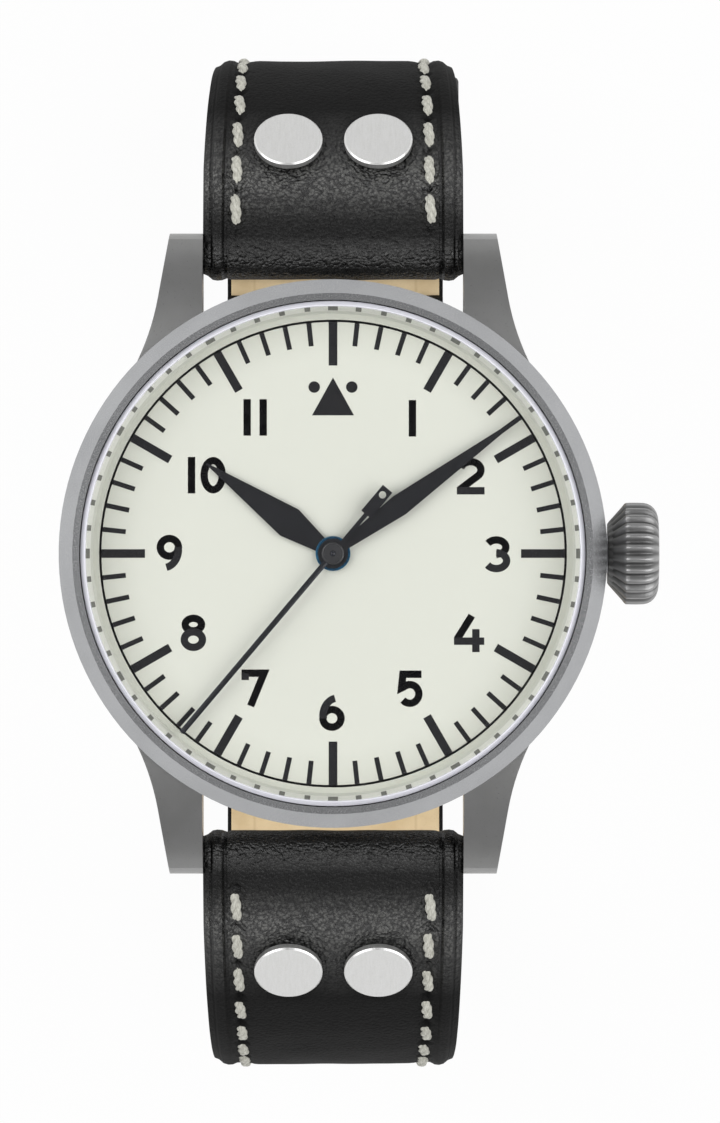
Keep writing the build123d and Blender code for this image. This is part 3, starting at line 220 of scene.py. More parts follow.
# Bead-blasted steel: a fine matt skin with faint clouds, and on a crown painted shade in its grooves
def blastedSteel(tree, look):
    place = tree.place()
    skin = tree.noise(place, look["skinScale"], rough=0.7)
    shade = tree.mottled(tree.noise(place, look["cloudScale"]), look)
    if "grooveRadius" in look:
        # Painted shade: the grooves between a crown's flutes are darkened in the base colour
        x, y, z = tree.parts(place)
        level = z - look["grooveLevel"]
        fromAxis = (y * y + level * level) ** 0.5
        wave = level.maths("COSINE", level.maths("ARCTAN2", level, y) * look["grooves"])
        depth = tree.range(wave, -1.0, 0.6, 1.0, 0.0) * (fromAxis > look["grooveRadius"])
        shade = tree.blend(depth * look["grooveDepth"], shade, look["grooveColour"])
    tree.put(Base_Color=shade, Metallic=look["metal"], IOR=2.2)
    tree.put(Roughness=tree.range(skin, 0.3, 0.7, look["rough"] - 0.05, look["rough"] + 0.05))
    tree.put(Normal=tree.bump(skin, look["skinDepth"], 0.6))


# Satin metal, brushed along one axis
def satinMetal(tree, look):
    place = tree.place()
    streak = tree.noise(tree.stretched(place, *look["stretch"]), look["streakScale"], rough=0.7)
    speck = tree.noise(place, look["streakScale"] * 2.0, 2.0)
    tone = tree.range(streak * 0.6 + speck * 0.4, 0.35, 0.65)
    tree.put(Base_Color=tree.blend(tone, look["shade"], look["colour"]), Metallic=look["metal"])
    tree.put(Roughness=tree.range(streak, 0.3, 0.7, look["rough"], look["rough"] + 0.1))
    tree.put(Normal=tree.bump(streak, 0.000004, 0.5))


makeAll(blastedSteel, {
    "caseSteel": {"colour": (172, 172, 172), "shade": (162, 162, 161), "metal": 0.95, "rough": 0.32,
                  "skinScale": 9000, "cloudScale": 160, "skinDepth": 0.000007},
    "bezelSteel": {"colour": (178, 179, 181), "shade": (170, 171, 173), "metal": 0.95, "rough": 0.25,
                   "skinScale": 12000, "cloudScale": 160, "skinDepth": 0.000002},
    "crownSteel": {"colour": (168, 168, 168), "shade": (156, 156, 156), "metal": 0.9, "rough": 0.38,
                   "skinScale": 9000, "cloudScale": 200, "skinDepth": 0.000008, "grooveLevel": 0.0056,
                   "grooveRadius": 0.0026, "grooves": 26.0, "grooveDepth": 0.7, "grooveColour": (70, 70, 70)},
    "buckleSteel": {"colour": (150, 150, 150), "shade": (138, 138, 138), "metal": 0.9, "rough": 0.4,
                    "skinScale": 9000, "cloudScale": 200, "skinDepth": 0.000010},
})
makeAll(satinMetal, {
    "rivetSteel": {"colour": (240, 240, 239), "shade": (226, 226, 224), "metal": 0.9, "rough": 0.28,
                   "stretch": (1.0, 0.15, 0.15), "streakScale": 5000},
    "barSteel": {"colour": (205, 205, 206), "shade": (190, 190, 192), "metal": 1.0, "rough": 0.16,
                 "stretch": (0.1, 1.0, 1.0), "streakScale": 5000},
    "plateNickel": {"colour": (205, 203, 198), "shade": (186, 184, 180), "metal": 1.0, "rough": 0.26,
                    "stretch": (1.0, 0.1, 1.0), "streakScale": 1500},
    "trainSteel": {"colour": (190, 191, 194), "shade": (170, 171, 175), "metal": 1.0, "rough": 0.2,
                   "stretch": (1.0, 1.0, 0.2), "streakScale": 4000},
    "trainBrass": {"colour": (222, 190, 116), "shade": (205, 172, 98), "metal": 1.0, "rough": 0.24,
                   "stretch": (1.0, 1.0, 0.2), "streakScale": 4000},
})
print("steel and brass made")


# Heat-blued steel, near black face on and bluer and lighter where it turns away from view: partly the steel's
# own blue, partly a painted sheen
def bluedSteel(tree, look):
    streak = tree.noise(tree.stretched(tree.place(), 1.0, 1.0, 0.2), look["streakScale"])
    # Painted sheen: the colour turns to the lighter edge colour as the surface turns away from view
    turned = tree.node("ShaderNodeLayerWeight", inputs={"Blend": 0.35}, output="Facing")
    tree.put(Base_Color=tree.blend(turned, tree.mottled(streak, look), look["edge"]))
    tree.put(Metallic=look["metal"], Roughness=look["rough"], Normal=tree.bump(streak, 0.000003, 0.4))


# Dial lacquer: cream, another shade towards its rim, with a very fine tooth. On the dial the darker rim is
# painted shade from the flange; on the pale ring the rim turns lighter
def dialLacquer(tree, look):
    place = tree.place()
    x, y, z = tree.parts(place)
    tooth = tree.noise(place, look["toothScale"])
    rim = tree.range((x * x + y * y) ** 0.5, look["rimStart"], look["rimEnd"])
    tree.put(Base_Color=tree.blend(rim, tree.mottled(tooth, look, 0.3, 0.7), look["rim"]))
    tree.put(Roughness=look["rough"], Specular_IOR_Level=0.3)
    tree.put(Normal=tree.bump(tooth, look["toothDepth"], 0.5))


# Printing ink, slightly grainy as silk-screened ink is; the same recipe gives the painted reflection on the
# flange ring
def printInk(tree, look):
    grain = tree.noise(tree.place(), look["grainScale"], rough=0.7)
    tree.put(Base_Color=tree.mottled(grain, look), Roughness=look["rough"], Specular_IOR_Level=0.2)
    tree.put(Normal=tree.bump(grain, 0.000006, 0.6))


# Crystal: clear over the dial, with a pale, nearly opaque ring over its bevel: a painted highlight for the
# bright rim of its chamfer
def crystalGlass(tree, look):
    place = tree.place()
    x, y, z = tree.parts(place)
    ground = tree.range((x * x + y * y) ** 0.5, look["groundStart"], look["groundStart"] + 0.00006)
    haze = tree.range(tree.noise(place, look["hazeScale"], 2.0, 0.5), 0.3, 0.7, 0.002, 0.006)
    tree.put(Base_Color=look["ground"], Roughness=look["rough"], Specular_IOR_Level=0.5)
    tree.put(Alpha=ground * look["groundAlpha"] + (1 - ground) * haze)
    gloss = tree.node("ShaderNodeBsdfAnisotropic", inputs={"Color": (255, 255, 255), "Roughness": 0.03})
    facing = tree.node("ShaderNodeLayerWeight", inputs={"Blend": 0.5}, output="Facing")
    tree.cover(facing ** 5.0 * (1.0 - look["sheen"]) + look["sheen"], gloss)
    tree.material.surface_render_method = "BLENDED"


# Rubber, moulded plastic and the jewels' ruby
def plainMould(tree, look):
    grain = tree.noise(tree.place(), look["grainScale"])
    tree.put(Base_Color=tree.mottled(grain, look), Roughness=look["rough"], Coat_Weight=look["coat"])
    tree.put(Normal=tree.bump(grain, 0.000006, 0.5))


makeAll(bluedSteel, {
    "bluedHands": {"colour": (22, 23, 27), "shade": (28, 29, 33), "edge": (16, 60, 110), "metal": 0.3,
                   "rough": 0.3, "streakScale": 3000},
    "darkSatin": {"colour": (50, 50, 52), "shade": (56, 56, 58), "edge": (70, 70, 72), "metal": 0.3,
                  "rough": 0.35, "streakScale": 4000},
    "bluedPipe": {"colour": (44, 112, 150), "shade": (22, 52, 76), "edge": (60, 150, 195), "metal": 0.6,
                  "rough": 0.25, "streakScale": 3000},
})
makeAll(dialLacquer, {
    # The dial's darker rim colour is painted shade
    "creamDial": {"colour": (229, 231, 220), "shade": (226, 228, 217), "rim": (216, 218, 206),
                  "rimStart": 0.0150, "rimEnd": 0.0184, "toothScale": 6000, "toothDepth": 0.000006,
                  "rough": 0.55},
    "paleRing": {"colour": (216, 218, 208), "shade": (211, 213, 204), "rim": (232, 233, 228),
                 "rimStart": 0.0185, "rimEnd": 0.0191, "toothScale": 6000, "toothDepth": 0.000004,
                 "rough": 0.45},
})
makeAll(printInk, {
    "blackInk": {"colour": (20, 20, 22), "shade": (30, 30, 33), "grainScale": 5000, "rough": 0.5},
    # The white and the grey here are no print but the painted reflection on the flange ring
    "reflectedBandWhite": {"colour": (240, 241, 234), "shade": (234, 235, 228), "grainScale": 5000, "rough": 0.5},
    "reflectedMarkGrey": {"colour": (128, 129, 123), "shade": (116, 117, 112), "grainScale": 5000, "rough": 0.5},
})
makeAll(crystalGlass, {
    "clearCrystal": {"ground": (246, 246, 254), "groundStart": 0.01890, "groundAlpha": 0.97, "rough": 0.25,
                     "sheen": 0.004, "hazeScale": 900},
})
makeAll(plainMould, {
    "gasketRubber": {"colour": (30, 30, 30), "shade": (38, 38, 38), "grainScale": 4000, "rough": 0.7,
                     "coat": 0.0},
    "clearGasket": {"colour": (225, 226, 222), "shade": (216, 217, 213), "grainScale": 3000, "rough": 0.3,
                    "coat": 0.2},
    "holderPlastic": {"colour": (190, 190, 186), "shade": (180, 180, 176), "grainScale": 2500, "rough": 0.5,
                      "coat": 0.0},
    "rubyStone": {"colour": (165, 20, 50), "shade": (190, 32, 66), "grainScale": 3000, "rough": 0.12,
                  "coat": 0.6},
})
print("dial, ink, glass and trim materials made")


# Black strap leather: pebbled and waxed, with a painted highlight on the pebble tops of its middle run
# and painted shade at its fold edge, past its bend and at its far end. Its UVs are the share of the half
# width and the distance along the strap in centimetres
def strapLeather(tree, look):
    uv = tree.place("UV")
    x, y, z = tree.parts(uv)
    side = abs(x)
    warped = tree.node("ShaderNodeVectorMath", {"operation": "MULTIPLY_ADD"}, {
        0: tree.noise(uv, look["warpScale"], 2.0, 0.5), 1: (look["warp"], look["warp"], 0.0), 2: uv})
    cell = tree.node("ShaderNodeTexVoronoi", inputs={"Vector": warped, "Scale": look["pebbleScale"]},
                     output="Distance")
    fine = tree.noise(warped, look["poreScale"], 2.0)
    relief = (1 - cell * cell * look["pebbleDepth"]) * 0.75 + tree.range(fine, 0.3, 0.7) * 0.25
    streak = tree.noise(tree.stretched(uv, look["streakAcross"], look["streakAlong"], 1.0), 1.0)
    border = tree.range(side, look["borderStart"], look["borderStart"] + 0.06)
    calm = tree.range(y, look["calmEnd"] - 0.06, look["calmEnd"] + 0.02)
    creases = tree.range(abs(side - look["innerCrease"]), 0.0, look["innerWidth"], 1.0, 0.0)
    creases = creases + tree.range(abs(side - look["outerCrease"]), 0.0, look["outerWidth"], 1.0, 0.0)
    bend = tree.range(y, look["bendStart"], look["bendStart"] + 0.1)
    bend = bend * tree.range(y, look["bendEnd"] - 0.1, look["bendEnd"], 1.0, 0.0)
    face = tree.range(side, look["edgeStart"], look["edgeStart"] + 0.01, 1.0, 0.0)
    height = relief * (0.45 + 0.55 * calm + 0.7 * bend) * (1 - border * 0.3)
    height = (height + border * streak * 0.6 - creases * 2.0) * face
    tree.put(Normal=tree.bump(height, look["depth"]))

    # Painted highlight: over the middle run the pebble tops get a pale colour in the base colour
    sheenMask = tree.range(y, look["wearStart"], look["wearFull"])
    sheenMask = sheenMask * tree.range(y, look["wearFade"], look["wearEnd"], 1.0, 0.0)
    sheenMask = sheenMask * tree.range(tree.noise(uv, look["cloudScale"], rough=0.5), 0.3, 0.7, 0.55, 1.0) * face
    tone = tree.blend(tree.range(relief, 0.25, 0.75), look["valley"], look["colour"])
    lit = tree.blend(tree.range(relief, 0.50, 0.93), look["valley"], look["worn"])
    tone = tree.blend(creases, tree.blend(sheenMask, tone, lit), look["valley"])
    tree.put(Base_Color=tone, Specular_IOR_Level=look["shine"])
    away = tree.range(y, look["wearFade"], look["wearEnd"])
    tree.put(Roughness=look["rough"] + fine * 0.1 + away * look["farRough"])

    # Painted shade: a dark, rough sheet is mixed over the fold edge, a strip past the bend and the far end
    shadeLook = {"Base Color": look["valley"], "Roughness": 0.9, "Specular IOR Level": 0.1}
    paintedShade = tree.node("ShaderNodeBsdfPrincipled", inputs=shadeLook)
    edge = tree.range(y, look["dullEnd"] - look["dullRun"], look["dullEnd"], look["edgeDull"], 0.0)
    strip = tree.range(y, look["bendEnd"] - 0.08, look["bendEnd"] + 0.04) * look["stripDull"]
    strip = strip * tree.range(y, look["wearStart"] + 0.05, look["wearFull"] + 0.05, 1.0, 0.0)
    tree.cover(edge + strip + away * look["farDull"], paintedShade)


# Lining leather: tan, smooth, with faint pores and a soft crease along each side
def liningLeather(tree, look):
    uv = tree.place("UV")
    x, y, z = tree.parts(uv)
    pore = tree.noise(uv, look["poreScale"], 4.0, 0.7)
    tone = tree.mottled(tree.noise(uv, look["cloudScale"], rough=0.5), look)
    tone = tree.blend(tree.range(pore, 0.55, 0.75) * 0.4, tone, look["pore"])
    crease = tree.range(abs(abs(x) - look["creaseShare"]), 0.0, look["creaseWidth"], 1.0, 0.0)
    tone = tree.blend(crease * 0.35, tone, look["pore"])
    tree.put(Base_Color=tone, Roughness=look["rough"], Specular_IOR_Level=0.3)
    tree.put(Normal=tree.bump(pore, look["depth"], 0.5))


# Waxed linen thread with its fibres
def linenThread(tree, look):
    fibre = tree.noise(tree.stretched(tree.place(), 1.0, 0.3, 0.3), look["fibreScale"], 4.0, 0.7)
    tree.put(Base_Color=tree.mottled(fibre, look), Roughness=look["rough"], Sheen_Weight=0.2)
    tree.put(Normal=tree.bump(fibre, 0.00002, 0.6))


strapGrain = {
    "colour": (22, 22, 21), "valley": (8, 8, 8), "worn": (112, 112, 109), "rough": 0.22, "farRough": 0.2,
    "shine": 0.8, "depth": 0.00014, "pebbleScale": 38, "pebbleDepth": 1.6, "poreScale": 80,
    "cloudScale": 3, "warpScale": 9, "warp": 0.05, "streakAcross": 45, "streakAlong": 1.5,
    "borderStart": 0.80, "innerCrease": 0.835, "innerWidth": 0.022, "outerCrease": 0.94,
    "outerWidth": 0.016, "edgeStart": 0.985, "bendStart": 0.50, "bendEnd": 0.74, "calmEnd": 0.66,
    "dullEnd": 0.52, "dullRun": 0.18, "edgeDull": 0.75, "stripDull": 0.7, "farDull": 0.85,
    "wearStart": 0.85, "wearFull": 1.15, "wearFade": 1.3, "wearEnd": 2.0,
}
# The keepers' leather is the strap's without the relief of its folds and borders, without its painted
# highlight and without the painted shade past its bend and at its far end
plainGrain = {"wearStart": 90.0, "wearFull": 91.0, "wearFade": 92.0, "wearEnd": 93.0, "bendStart": 94.0,
              "bendEnd": 95.0, "borderStart": 2.0, "rough": 0.4, "calmEnd": -9.0}
makeAll(strapLeather, {"blackLeather": strapGrain, "edgeLeather": {**strapGrain, **plainGrain}})
makeAll(liningLeather, {
    "tanLining": {"colour": (224, 202, 163), "shade": (212, 188, 147), "pore": (186, 156, 112),
                  "rough": 0.6, "poreScale": 60, "cloudScale": 4, "depth": 0.00003, "creaseShare": 0.75,
                  "creaseWidth": 0.02},
})
makeAll(linenThread, {
    "paleThread": {"colour": (170, 169, 158), "shade": (216, 215, 205), "rough": 0.75, "fibreScale": 9000},
})
print("leather and thread made")


# Tools for modelling by operators
def named(name):
    made = bpy.context.object
    made.name = name
    made.data.name = name
    return made


def only(piece):
    bpy.ops.object.select_all(action="DESELECT")
    piece.select_set(True)
    bpy.context.view_layer.objects.active = piece


def settled(piece):
    only(piece)
    bpy.ops.object.transform_apply(location=True, rotation=True, scale=True)
    return piece


def modified(piece, kind, **settings):
    only(piece)
    modifier = piece.modifiers.new(kind.lower(), kind)
    for key, value in settings.items():
        setattr(modifier, key, value)
    bpy.ops.object.modifier_apply(modifier=modifier.name)
    return piece


# All of a mesh is selected in edit mode, then each operator is called with its settings
def edited(piece, *steps):
    only(piece)
    bpy.ops.object.mode_set(mode="EDIT")
    bpy.ops.mesh.select_all(action="SELECT")
    for operator, settings in steps:
        operator(**settings)
    bpy.ops.object.mode_set(mode="OBJECT")
    return piece


facingOut = (bpy.ops.mesh.normals_make_consistent, {"inside": False})
allSelected = (bpy.ops.mesh.select_all, {"action": "SELECT"})


def copied(piece, name):
    only(piece)
    bpy.ops.object.duplicate()
    return named(name)


def fromFaces(name, points, faces):
    mesh = bpy.data.meshes.new(name)
    mesh.from_pydata(points, [], faces)
    return linked(name, mesh)


def joined(pieces, name):
    only(pieces[0])
    for piece in pieces:
        piece.select_set(True)
    bpy.ops.object.join()
    return named(name)


def moulded(piece, movePoint):
    for vertex in piece.data.vertices:
        vertex.co = movePoint(vertex.co.copy())
    piece.data.update()
    return piece


def finished(piece, material, body, smooth=40):
    only(piece)
    if smooth:
        bpy.ops.object.shade_smooth_by_angle(angle=radians(smooth))
    piece.data.materials.clear()
    piece.data.materials.append(materials[material])
    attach(piece, body)
    return piece


# Materials of the model's own pieces
dress = {
    "caseSteel": ("mid_case", "case_back"),
    "bezelSteel": ("bezel",),
    "crownSteel": ("crown",),
    "buckleSteel": ("buckle_frame", "buckle_tongue"),
    "barSteel": ("buckle_bar", "spring_bar_12", "spring_bar_6"),
    "rivetSteel": ("rivets_12", "rivets_6", "rivet_washers_12", "rivet_washers_6"),
    "clearCrystal": ("crystal",),
    "creamDial": ("dial",),
    "paleRing": ("flange_ring",),
    "bluedHands": ("hour_hand", "minute_hand", "second_hand", "hairspring"),
    "gasketRubber": ("back_gasket", "crown_gasket"),
    "clearGasket": ("crystal_gasket",),
    "holderPlastic": ("movement_ring",),
    "rubyStone": ("jewels",),
    "plateNickel": ("main_plate", "train_bridge", "balance_cock", "rotor"),
    "trainSteel": ("crown_tube", "stem", "winding_pinion", "sliding_pinion", "bridge_screws", "case_clamps",
                   "barrel_arbor", "mainspring", "cannon_pinion", "escape_wheel", "pallet_fork",
                   "rotor_bearing"),
    "trainBrass": ("barrel_drum", "barrel_cover", "centre_wheel", "third_wheel", "fourth_wheel",
                   "balance_wheel", "minute_wheel", "hour_wheel"),
}
for material, names in dress.items():
    for name in names:
        slots = nodes[name].data.materials
        if not slots:
            slots.append(materials[material])
        for index in range(len(slots)):
            slots[index] = materials[material]
print("model's own pieces dressed")

# Print on the dial: minute circle, ticks, triangle with dots, and numbers
dialInk = {
    "thickness": 0.000015, "circleOuter": 0.01794, "circleInner": 0.01776,
    "minuteWidth": 0.000375, "minuteInner": 0.01598, "hourWidth": 0.00066, "hourInner": 0.01442,
    "triangleBase": 0.00322, "triangleLow": 0.01060, "triangleHigh": 0.01350,
    "dotRadius": 0.00044, "dotSide": 0.00144, "dotLevel": 0.01277,
    "digitHeight": 0.00280, "digitStroke": 0.00057, "digitWidth": 0.00196, "layer": 0.000003,
}
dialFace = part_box("dial")[1].z
inkDepth = dialInk["thickness"]


def inkBar(width, length, middle, turn, level, height):
    bpy.ops.mesh.primitive_cube_add(size=1.0, location=(middle[0], middle[1], level + height / 2),
                                    rotation=(0.0, 0.0, turn))
    bar = bpy.context.object
    bar.scale = (width, length, height)
    return settled(bar)


def inkRing(inner, outer):
    middle = (0, 0, dialFace)
    bpy.ops.mesh.primitive_circle_add(vertices=180, radius=inner, fill_type="NOTHING", location=middle)
    wider = {"value": (outer / inner, outer / inner, 1.0), "center_override": middle}
    ring = edited(named("circle"), (bpy.ops.mesh.extrude_edges_move, {}), (bpy.ops.transform.resize, wider),
                  allSelected, facingOut)
    return modified(settled(ring), "SOLIDIFY", thickness=inkDepth, offset=1.0)


def radialBars(count, skip, width, inner):
    length = dialInk["circleInner"] - inner
    middle = inner + length / 2
    turns = [2 * pi * number / count for number in range(count) if not skip or number % skip]
    return [inkBar(width, length, (middle * sin(turn), middle * cos(turn)), -turn, dialFace, inkDepth)
            for turn in turns]


printing = [inkRing(dialInk["circleInner"], dialInk["circleOuter"])]
printing += radialBars(60, 5, dialInk["minuteWidth"], dialInk["minuteInner"])
printing += radialBars(12, 0, dialInk["hourWidth"], dialInk["hourInner"])

# The triangle and its two dots
corners = [(side * dialInk["triangleBase"] / 2, dialInk["triangleLow"], dialFace) for side in (-1, 1)]
corners.append((0.0, dialInk["triangleHigh"], dialFace))
triangle = fromFaces("triangle", corners, [(0, 1, 2)])
printing.append(modified(triangle, "SOLIDIFY", thickness=inkDepth, offset=1.0))
for side in (-1, 1):
    bpy.ops.mesh.primitive_cylinder_add(
        vertices=32, radius=dialInk["dotRadius"], depth=inkDepth,
        location=(side * dialInk["dotSide"], dialInk["dotLevel"], dialFace + inkDepth / 2))
    printing.append(settled(bpy.context.object))

# Numbers are drawn as strokes, as runs of points in shares of a digit's height from its middle
half = dialInk["digitWidth"] / dialInk["digitHeight"] / 2
stroke = dialInk["digitStroke"] / dialInk["digitHeight"]
reach = half - stroke / 2
top = 0.5 - stroke / 2
upper = (top + 0.035) / 2
lower = (top - 0.035) / 2


def arc(x, y, rx, ry, start, end, count):
    return [(x + rx * cos(radians(start + (end - start) * step / count)),
             y + ry * sin(radians(start + (end - start) * step / count))) for step in range(count + 1)]


strokesOf = {
    "0": [arc(0.0, 0.0, reach, top, 0, 360, 40)],
    "1": [[(0.0, -0.5), (0.0, 0.5)]],
    "2": [arc(0.0, top - reach * 0.92, reach * 1.13, reach * 0.92, 165, -38, 24)
          + [(-reach - 0.03, 0.05 - top), (-reach - 0.03, -0.5)],
          [(-half - 0.03, -top), (half + 0.03, -top)]],
    "3": [arc(-0.01, top - upper + 0.01, reach * 1.06, upper - 0.02, 150, -90, 20),
          arc(-0.01, -top + lower + 0.035, reach * 1.14, lower + 0.035, 90, -148, 22)],
    "4": [[(0.06, 0.5), (-reach - 0.08, -0.12), (-reach - 0.08, -0.20)],
          [(-half - 0.08, -0.20), (half + 0.05, -0.20)], [(0.17, 0.13), (0.17, -0.5)]],
    "5": [[(half - 0.03, top), (-reach + 0.06, top), (-reach + 0.02, 0.02)]
          + arc(0.0, -top + lower + 0.075, reach, lower + 0.075, 132, -140, 24)],
    "6": [arc(0.0, -top + lower + 0.06, reach, lower + 0.06, 0, 360, 34),
          [(-reach + 0.01, -0.16)] + arc(reach * 0.62, -0.10, reach * 1.62, top + 0.10, 176, 100, 14)],
    "7": [[(-half, top), (reach + 0.02, top), (-0.10, -0.5)], [(-reach, top), (-reach, 0.21)]],
    "8": [arc(0.0, top - upper + 0.045, reach * 0.9, upper - 0.045, 0, 360, 30),
          arc(0.0, -top + lower + 0.03, reach, lower + 0.03, 0, 360, 34)],
}
strokesOf["9"] = [[(-x, -y) for x, y in run] for run in strokesOf["6"]]


# A run of points as a band one stroke wide, closed where its ends meet
def inkStroke(points, centre, level):
    spots = [Vector(point) for point in points]
    headings = [(after - before).normalized() for before, after in zip(spots, spots[1:])]
    closed = (spots[0] - spots[-1]).length < 1e-6
    if closed:
        spots.pop()
    count = len(spots)
    left, right = [], []
    arriving = [headings[-1] if closed else headings[0]] + headings
    leaving = headings + [headings[-1]]
    for spot, first, second in zip(spots, arriving, leaving):
        middle = (first + second).normalized()
        aside = Vector((-middle.y, middle.x)) * stroke / 2 / max(0.35, middle.dot(first))
        left.append(spot + aside)
        right.append(spot - aside)
    size = dialInk["digitHeight"]
    corners = [(centre[0] + x * size, centre[1] + y * size, level) for x, y in left + right]
    steps = [(i, (i + 1) % count) for i in range(count if closed else count - 1)]
    faces = [(start, start + count, end + count, end) for start, end in steps]
    return modified(fromFaces("stroke", corners, faces), "SOLIDIFY", thickness=inkDepth, offset=-1.0)


numberPlaces = {
    "1": (0.00609, 0.01037), "2": (0.01056, 0.00593), "3": (0.01255, -0.00004), "4": (0.01048, -0.00616),
    "5": (0.00589, -0.01037), "6": (-0.00008, -0.01220), "7": (-0.00604, -0.01029), "8": (-0.01071, -0.00608),
    "9": (-0.01255, 0.00004), "10": (-0.01002, 0.00601), "11": (-0.00597, 0.01044),
}
digitPitch = {"10": 0.00166, "11": 0.00123}
for number, place in numberPlaces.items():
    for index, digit in enumerate(number):
        offset = (index - (len(number) - 1) / 2) * digitPitch.get(number, 0.0)
        for layer, run in enumerate(strokesOf[digit]):
            level = dialFace + layer * dialInk["layer"]
            printing.append(inkStroke(run, (place[0] + offset, place[1]), level))
finished(joined(printing, "dial_print"), "blackInk", "case", smooth=0)


# A turned piece: a circle extruded through a list of (radius, level), closed over its ends or into a ring
def turned(name, profile, segments, ring=False):
    radius, level = profile[0]
    bpy.ops.mesh.primitive_circle_add(vertices=segments, radius=radius, fill_type="NOTHING",
                                      location=(0, 0, level))
    steps = [] if ring else [(bpy.ops.mesh.edge_face_add, {})]
    extrude = bpy.ops.mesh.extrude_edges_move if ring else bpy.ops.mesh.extrude_region_move
    for newRadius, newLevel in profile[1:]:
        scale = newRadius / radius
        wider = {"value": (scale, scale, 1.0), "center_override": (0, 0, newLevel)}
        steps.append((extrude, {"TRANSFORM_OT_translate": {"value": (0, 0, newLevel - level)}}))
        steps.append((bpy.ops.transform.resize, wider))
        radius, level = newRadius, newLevel
    if ring:
        steps.append((bpy.ops.mesh.select_all, {"action": "DESELECT"}))
        steps.append((bpy.ops.mesh.select_non_manifold, {"extend": False}))
        steps.append((bpy.ops.mesh.bridge_edge_loops, {}))
    return edited(settled(named(name)), *steps, allSelected, facingOut)


# Small grey squares on the sloping ring round the dial, one a minute, with a white band under them: a painted
# reflection of the minute track in the crystal's edge
ringReflection = {"inner": 0.01863, "outer": 0.01897, "width": 0.00043, "fiveWidth": 0.00075, "thickness": 0.00006,
           "lift": 0.00005, "slopeStart": 0.0184, "slopeRun": 0.0006, "bandInner": 0.01860,
           "bandOuter": 0.01898, "bandBelow": 0.00005, "bandAbove": 0.00004}
ringLow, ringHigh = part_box("flange_ring")


def ringLevel(radius):
    return ringLow.z + (radius - ringReflection["slopeStart"]) * (ringHigh.z - ringLow.z) / ringReflection["slopeRun"]


reflectedMarks = []
for number in range(60):
    width = ringReflection["width" if number % 5 else "fiveWidth"]
    length = ringReflection["outer"] - ringReflection["inner"]
    reflectedMark = inkBar(width, length, (0.0, ringReflection["inner"] + length / 2), 0.0, 0.0, ringReflection["thickness"])
    moulded(reflectedMark, lambda co: Vector((co.x, co.y, ringLevel(co.y) + co.z + ringReflection["lift"])))
    reflectedMark.data.transform(Matrix.Rotation(-2 * pi * number / 60, 4, "Z"))
    reflectedMarks.append(reflectedMark)
finished(joined(reflectedMarks, "ring_reflected_marks"), "reflectedMarkGrey", "case", smooth=0)
below, above = -ringReflection["bandBelow"], ringReflection["bandAbove"]
steps = [(ringReflection[edge], ringLevel(ringReflection[edge]) + lift) for edge, lift in
         (("bandInner", below), ("bandInner", above), ("bandOuter", above), ("bandOuter", below))]
finished(turned("ring_reflected_band", steps, 240, ring=True), "reflectedBandWhite", "case", smooth=30)
print("dial printed")

# Hand hub: the hour hand's blued collar, and the second hand's cap and pin, as (radius, height over the hand)
hub = {
    "hour_collar": {"hand": "hour_hand", "body": "hours", "material": "bluedPipe", "segments": 72, "steps":
        [(0.00112, -0.0001), (0.00134, -0.0001), (0.00134, 0.00003), (0.00129, 0.00008), (0.00112, 0.00008)]},
    "second_cap": {"hand": "second_hand", "body": "seconds", "material": "darkSatin", "segments": 64, "steps":
        [(0.00086, -0.00002), (0.00086, 0.00004), (0.00080, 0.00009), (0.00072, 0.00009), (0.00069, 0.00006),
         (0.00024, 0.00007), (0.00020, 0.00003)]},
    "second_pin": {"hand": "second_hand", "body": "seconds", "material": "bluedHands", "segments": 32,
                   "steps": [(0.00017, 0.0), (0.00017, 0.00010), (0.00013, 0.00013)]},
}
for name, look in hub.items():
    steps = [(radius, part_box(look["hand"])[1].z + height) for radius, height in look["steps"]]
    piece = turned(name, steps, look["segments"], ring=name == "hour_collar")
    finished(piece, look["material"], look["body"])

# The second hand's needle, as even in width as the photographed one
needle = {"width": 0.00043, "start": 0.0005, "end": 0.01795, "angle": 220.2, "over": 0.00001,
          "bevel": 0.00003}
turn = radians(-needle["angle"])
middle = Matrix.Rotation(turn, 2) @ Vector((0.0, (needle["start"] + needle["end"]) / 2))
low, high = [corner.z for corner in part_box("second_hand")]
piece = inkBar(needle["width"], needle["end"] - needle["start"], middle, turn, low - needle["over"],
               high - low + 3 * needle["over"])
piece.name = "second_needle"
modified(piece, "BEVEL", width=needle["bevel"], segments=2)
finished(piece, "bluedHands", "seconds")
print("hand hub made")

# Crown: a turned onion shape, fluted all round, on the crown's axis, its steps in millimetres
crown = {"axisLevel": 0.0056, "start": 0.0211, "flutes": 26, "depth": 0.085, "curve": 1.3, "segments": 260,
         "fluteStart": 2.3, "fluteFull": 2.8,
         "steps": [(1.55, 0.60), (1.60, 0.0), (2.30, 0.0), (2.44, 0.10), (3.00, 0.60), (3.55, 1.09),
                   (3.80, 1.29), (3.90, 1.42), (3.92, 1.80), (3.92, 2.30), (3.90, 2.80), (3.84, 3.08),
                   (3.70, 3.36), (3.50, 3.58), (3.24, 3.76), (2.95, 3.87), (2.60, 3.93), (2.20, 3.95),
                   (1.0, 3.97)]}


def shareOf(value, low, high):
    return min(1.0, max(0.0, (value - low) / (high - low)))


def fluted(co):
    radius, angle = hypot(co.x, co.y), atan2(co.y, co.x)
    share = shareOf(radius / mm, crown["fluteStart"], crown["fluteFull"])
    wave = 0.5 + 0.5 * cos(crown["flutes"] * angle)
    radius *= 1.0 - share * crown["depth"] * (1.0 - wave) ** crown["curve"]
    return Vector((co.z + crown["start"], radius * cos(angle), radius * sin(angle) + crown["axisLevel"]))


steps = [(radius * mm, level * mm) for radius, level in crown["steps"]]
crownPiece = moulded(turned("crown_fluted", steps, crown["segments"]), fluted)
finished(crownPiece, "crownSteel", "crown", smooth=50)
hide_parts("crown")
print("crown turned")

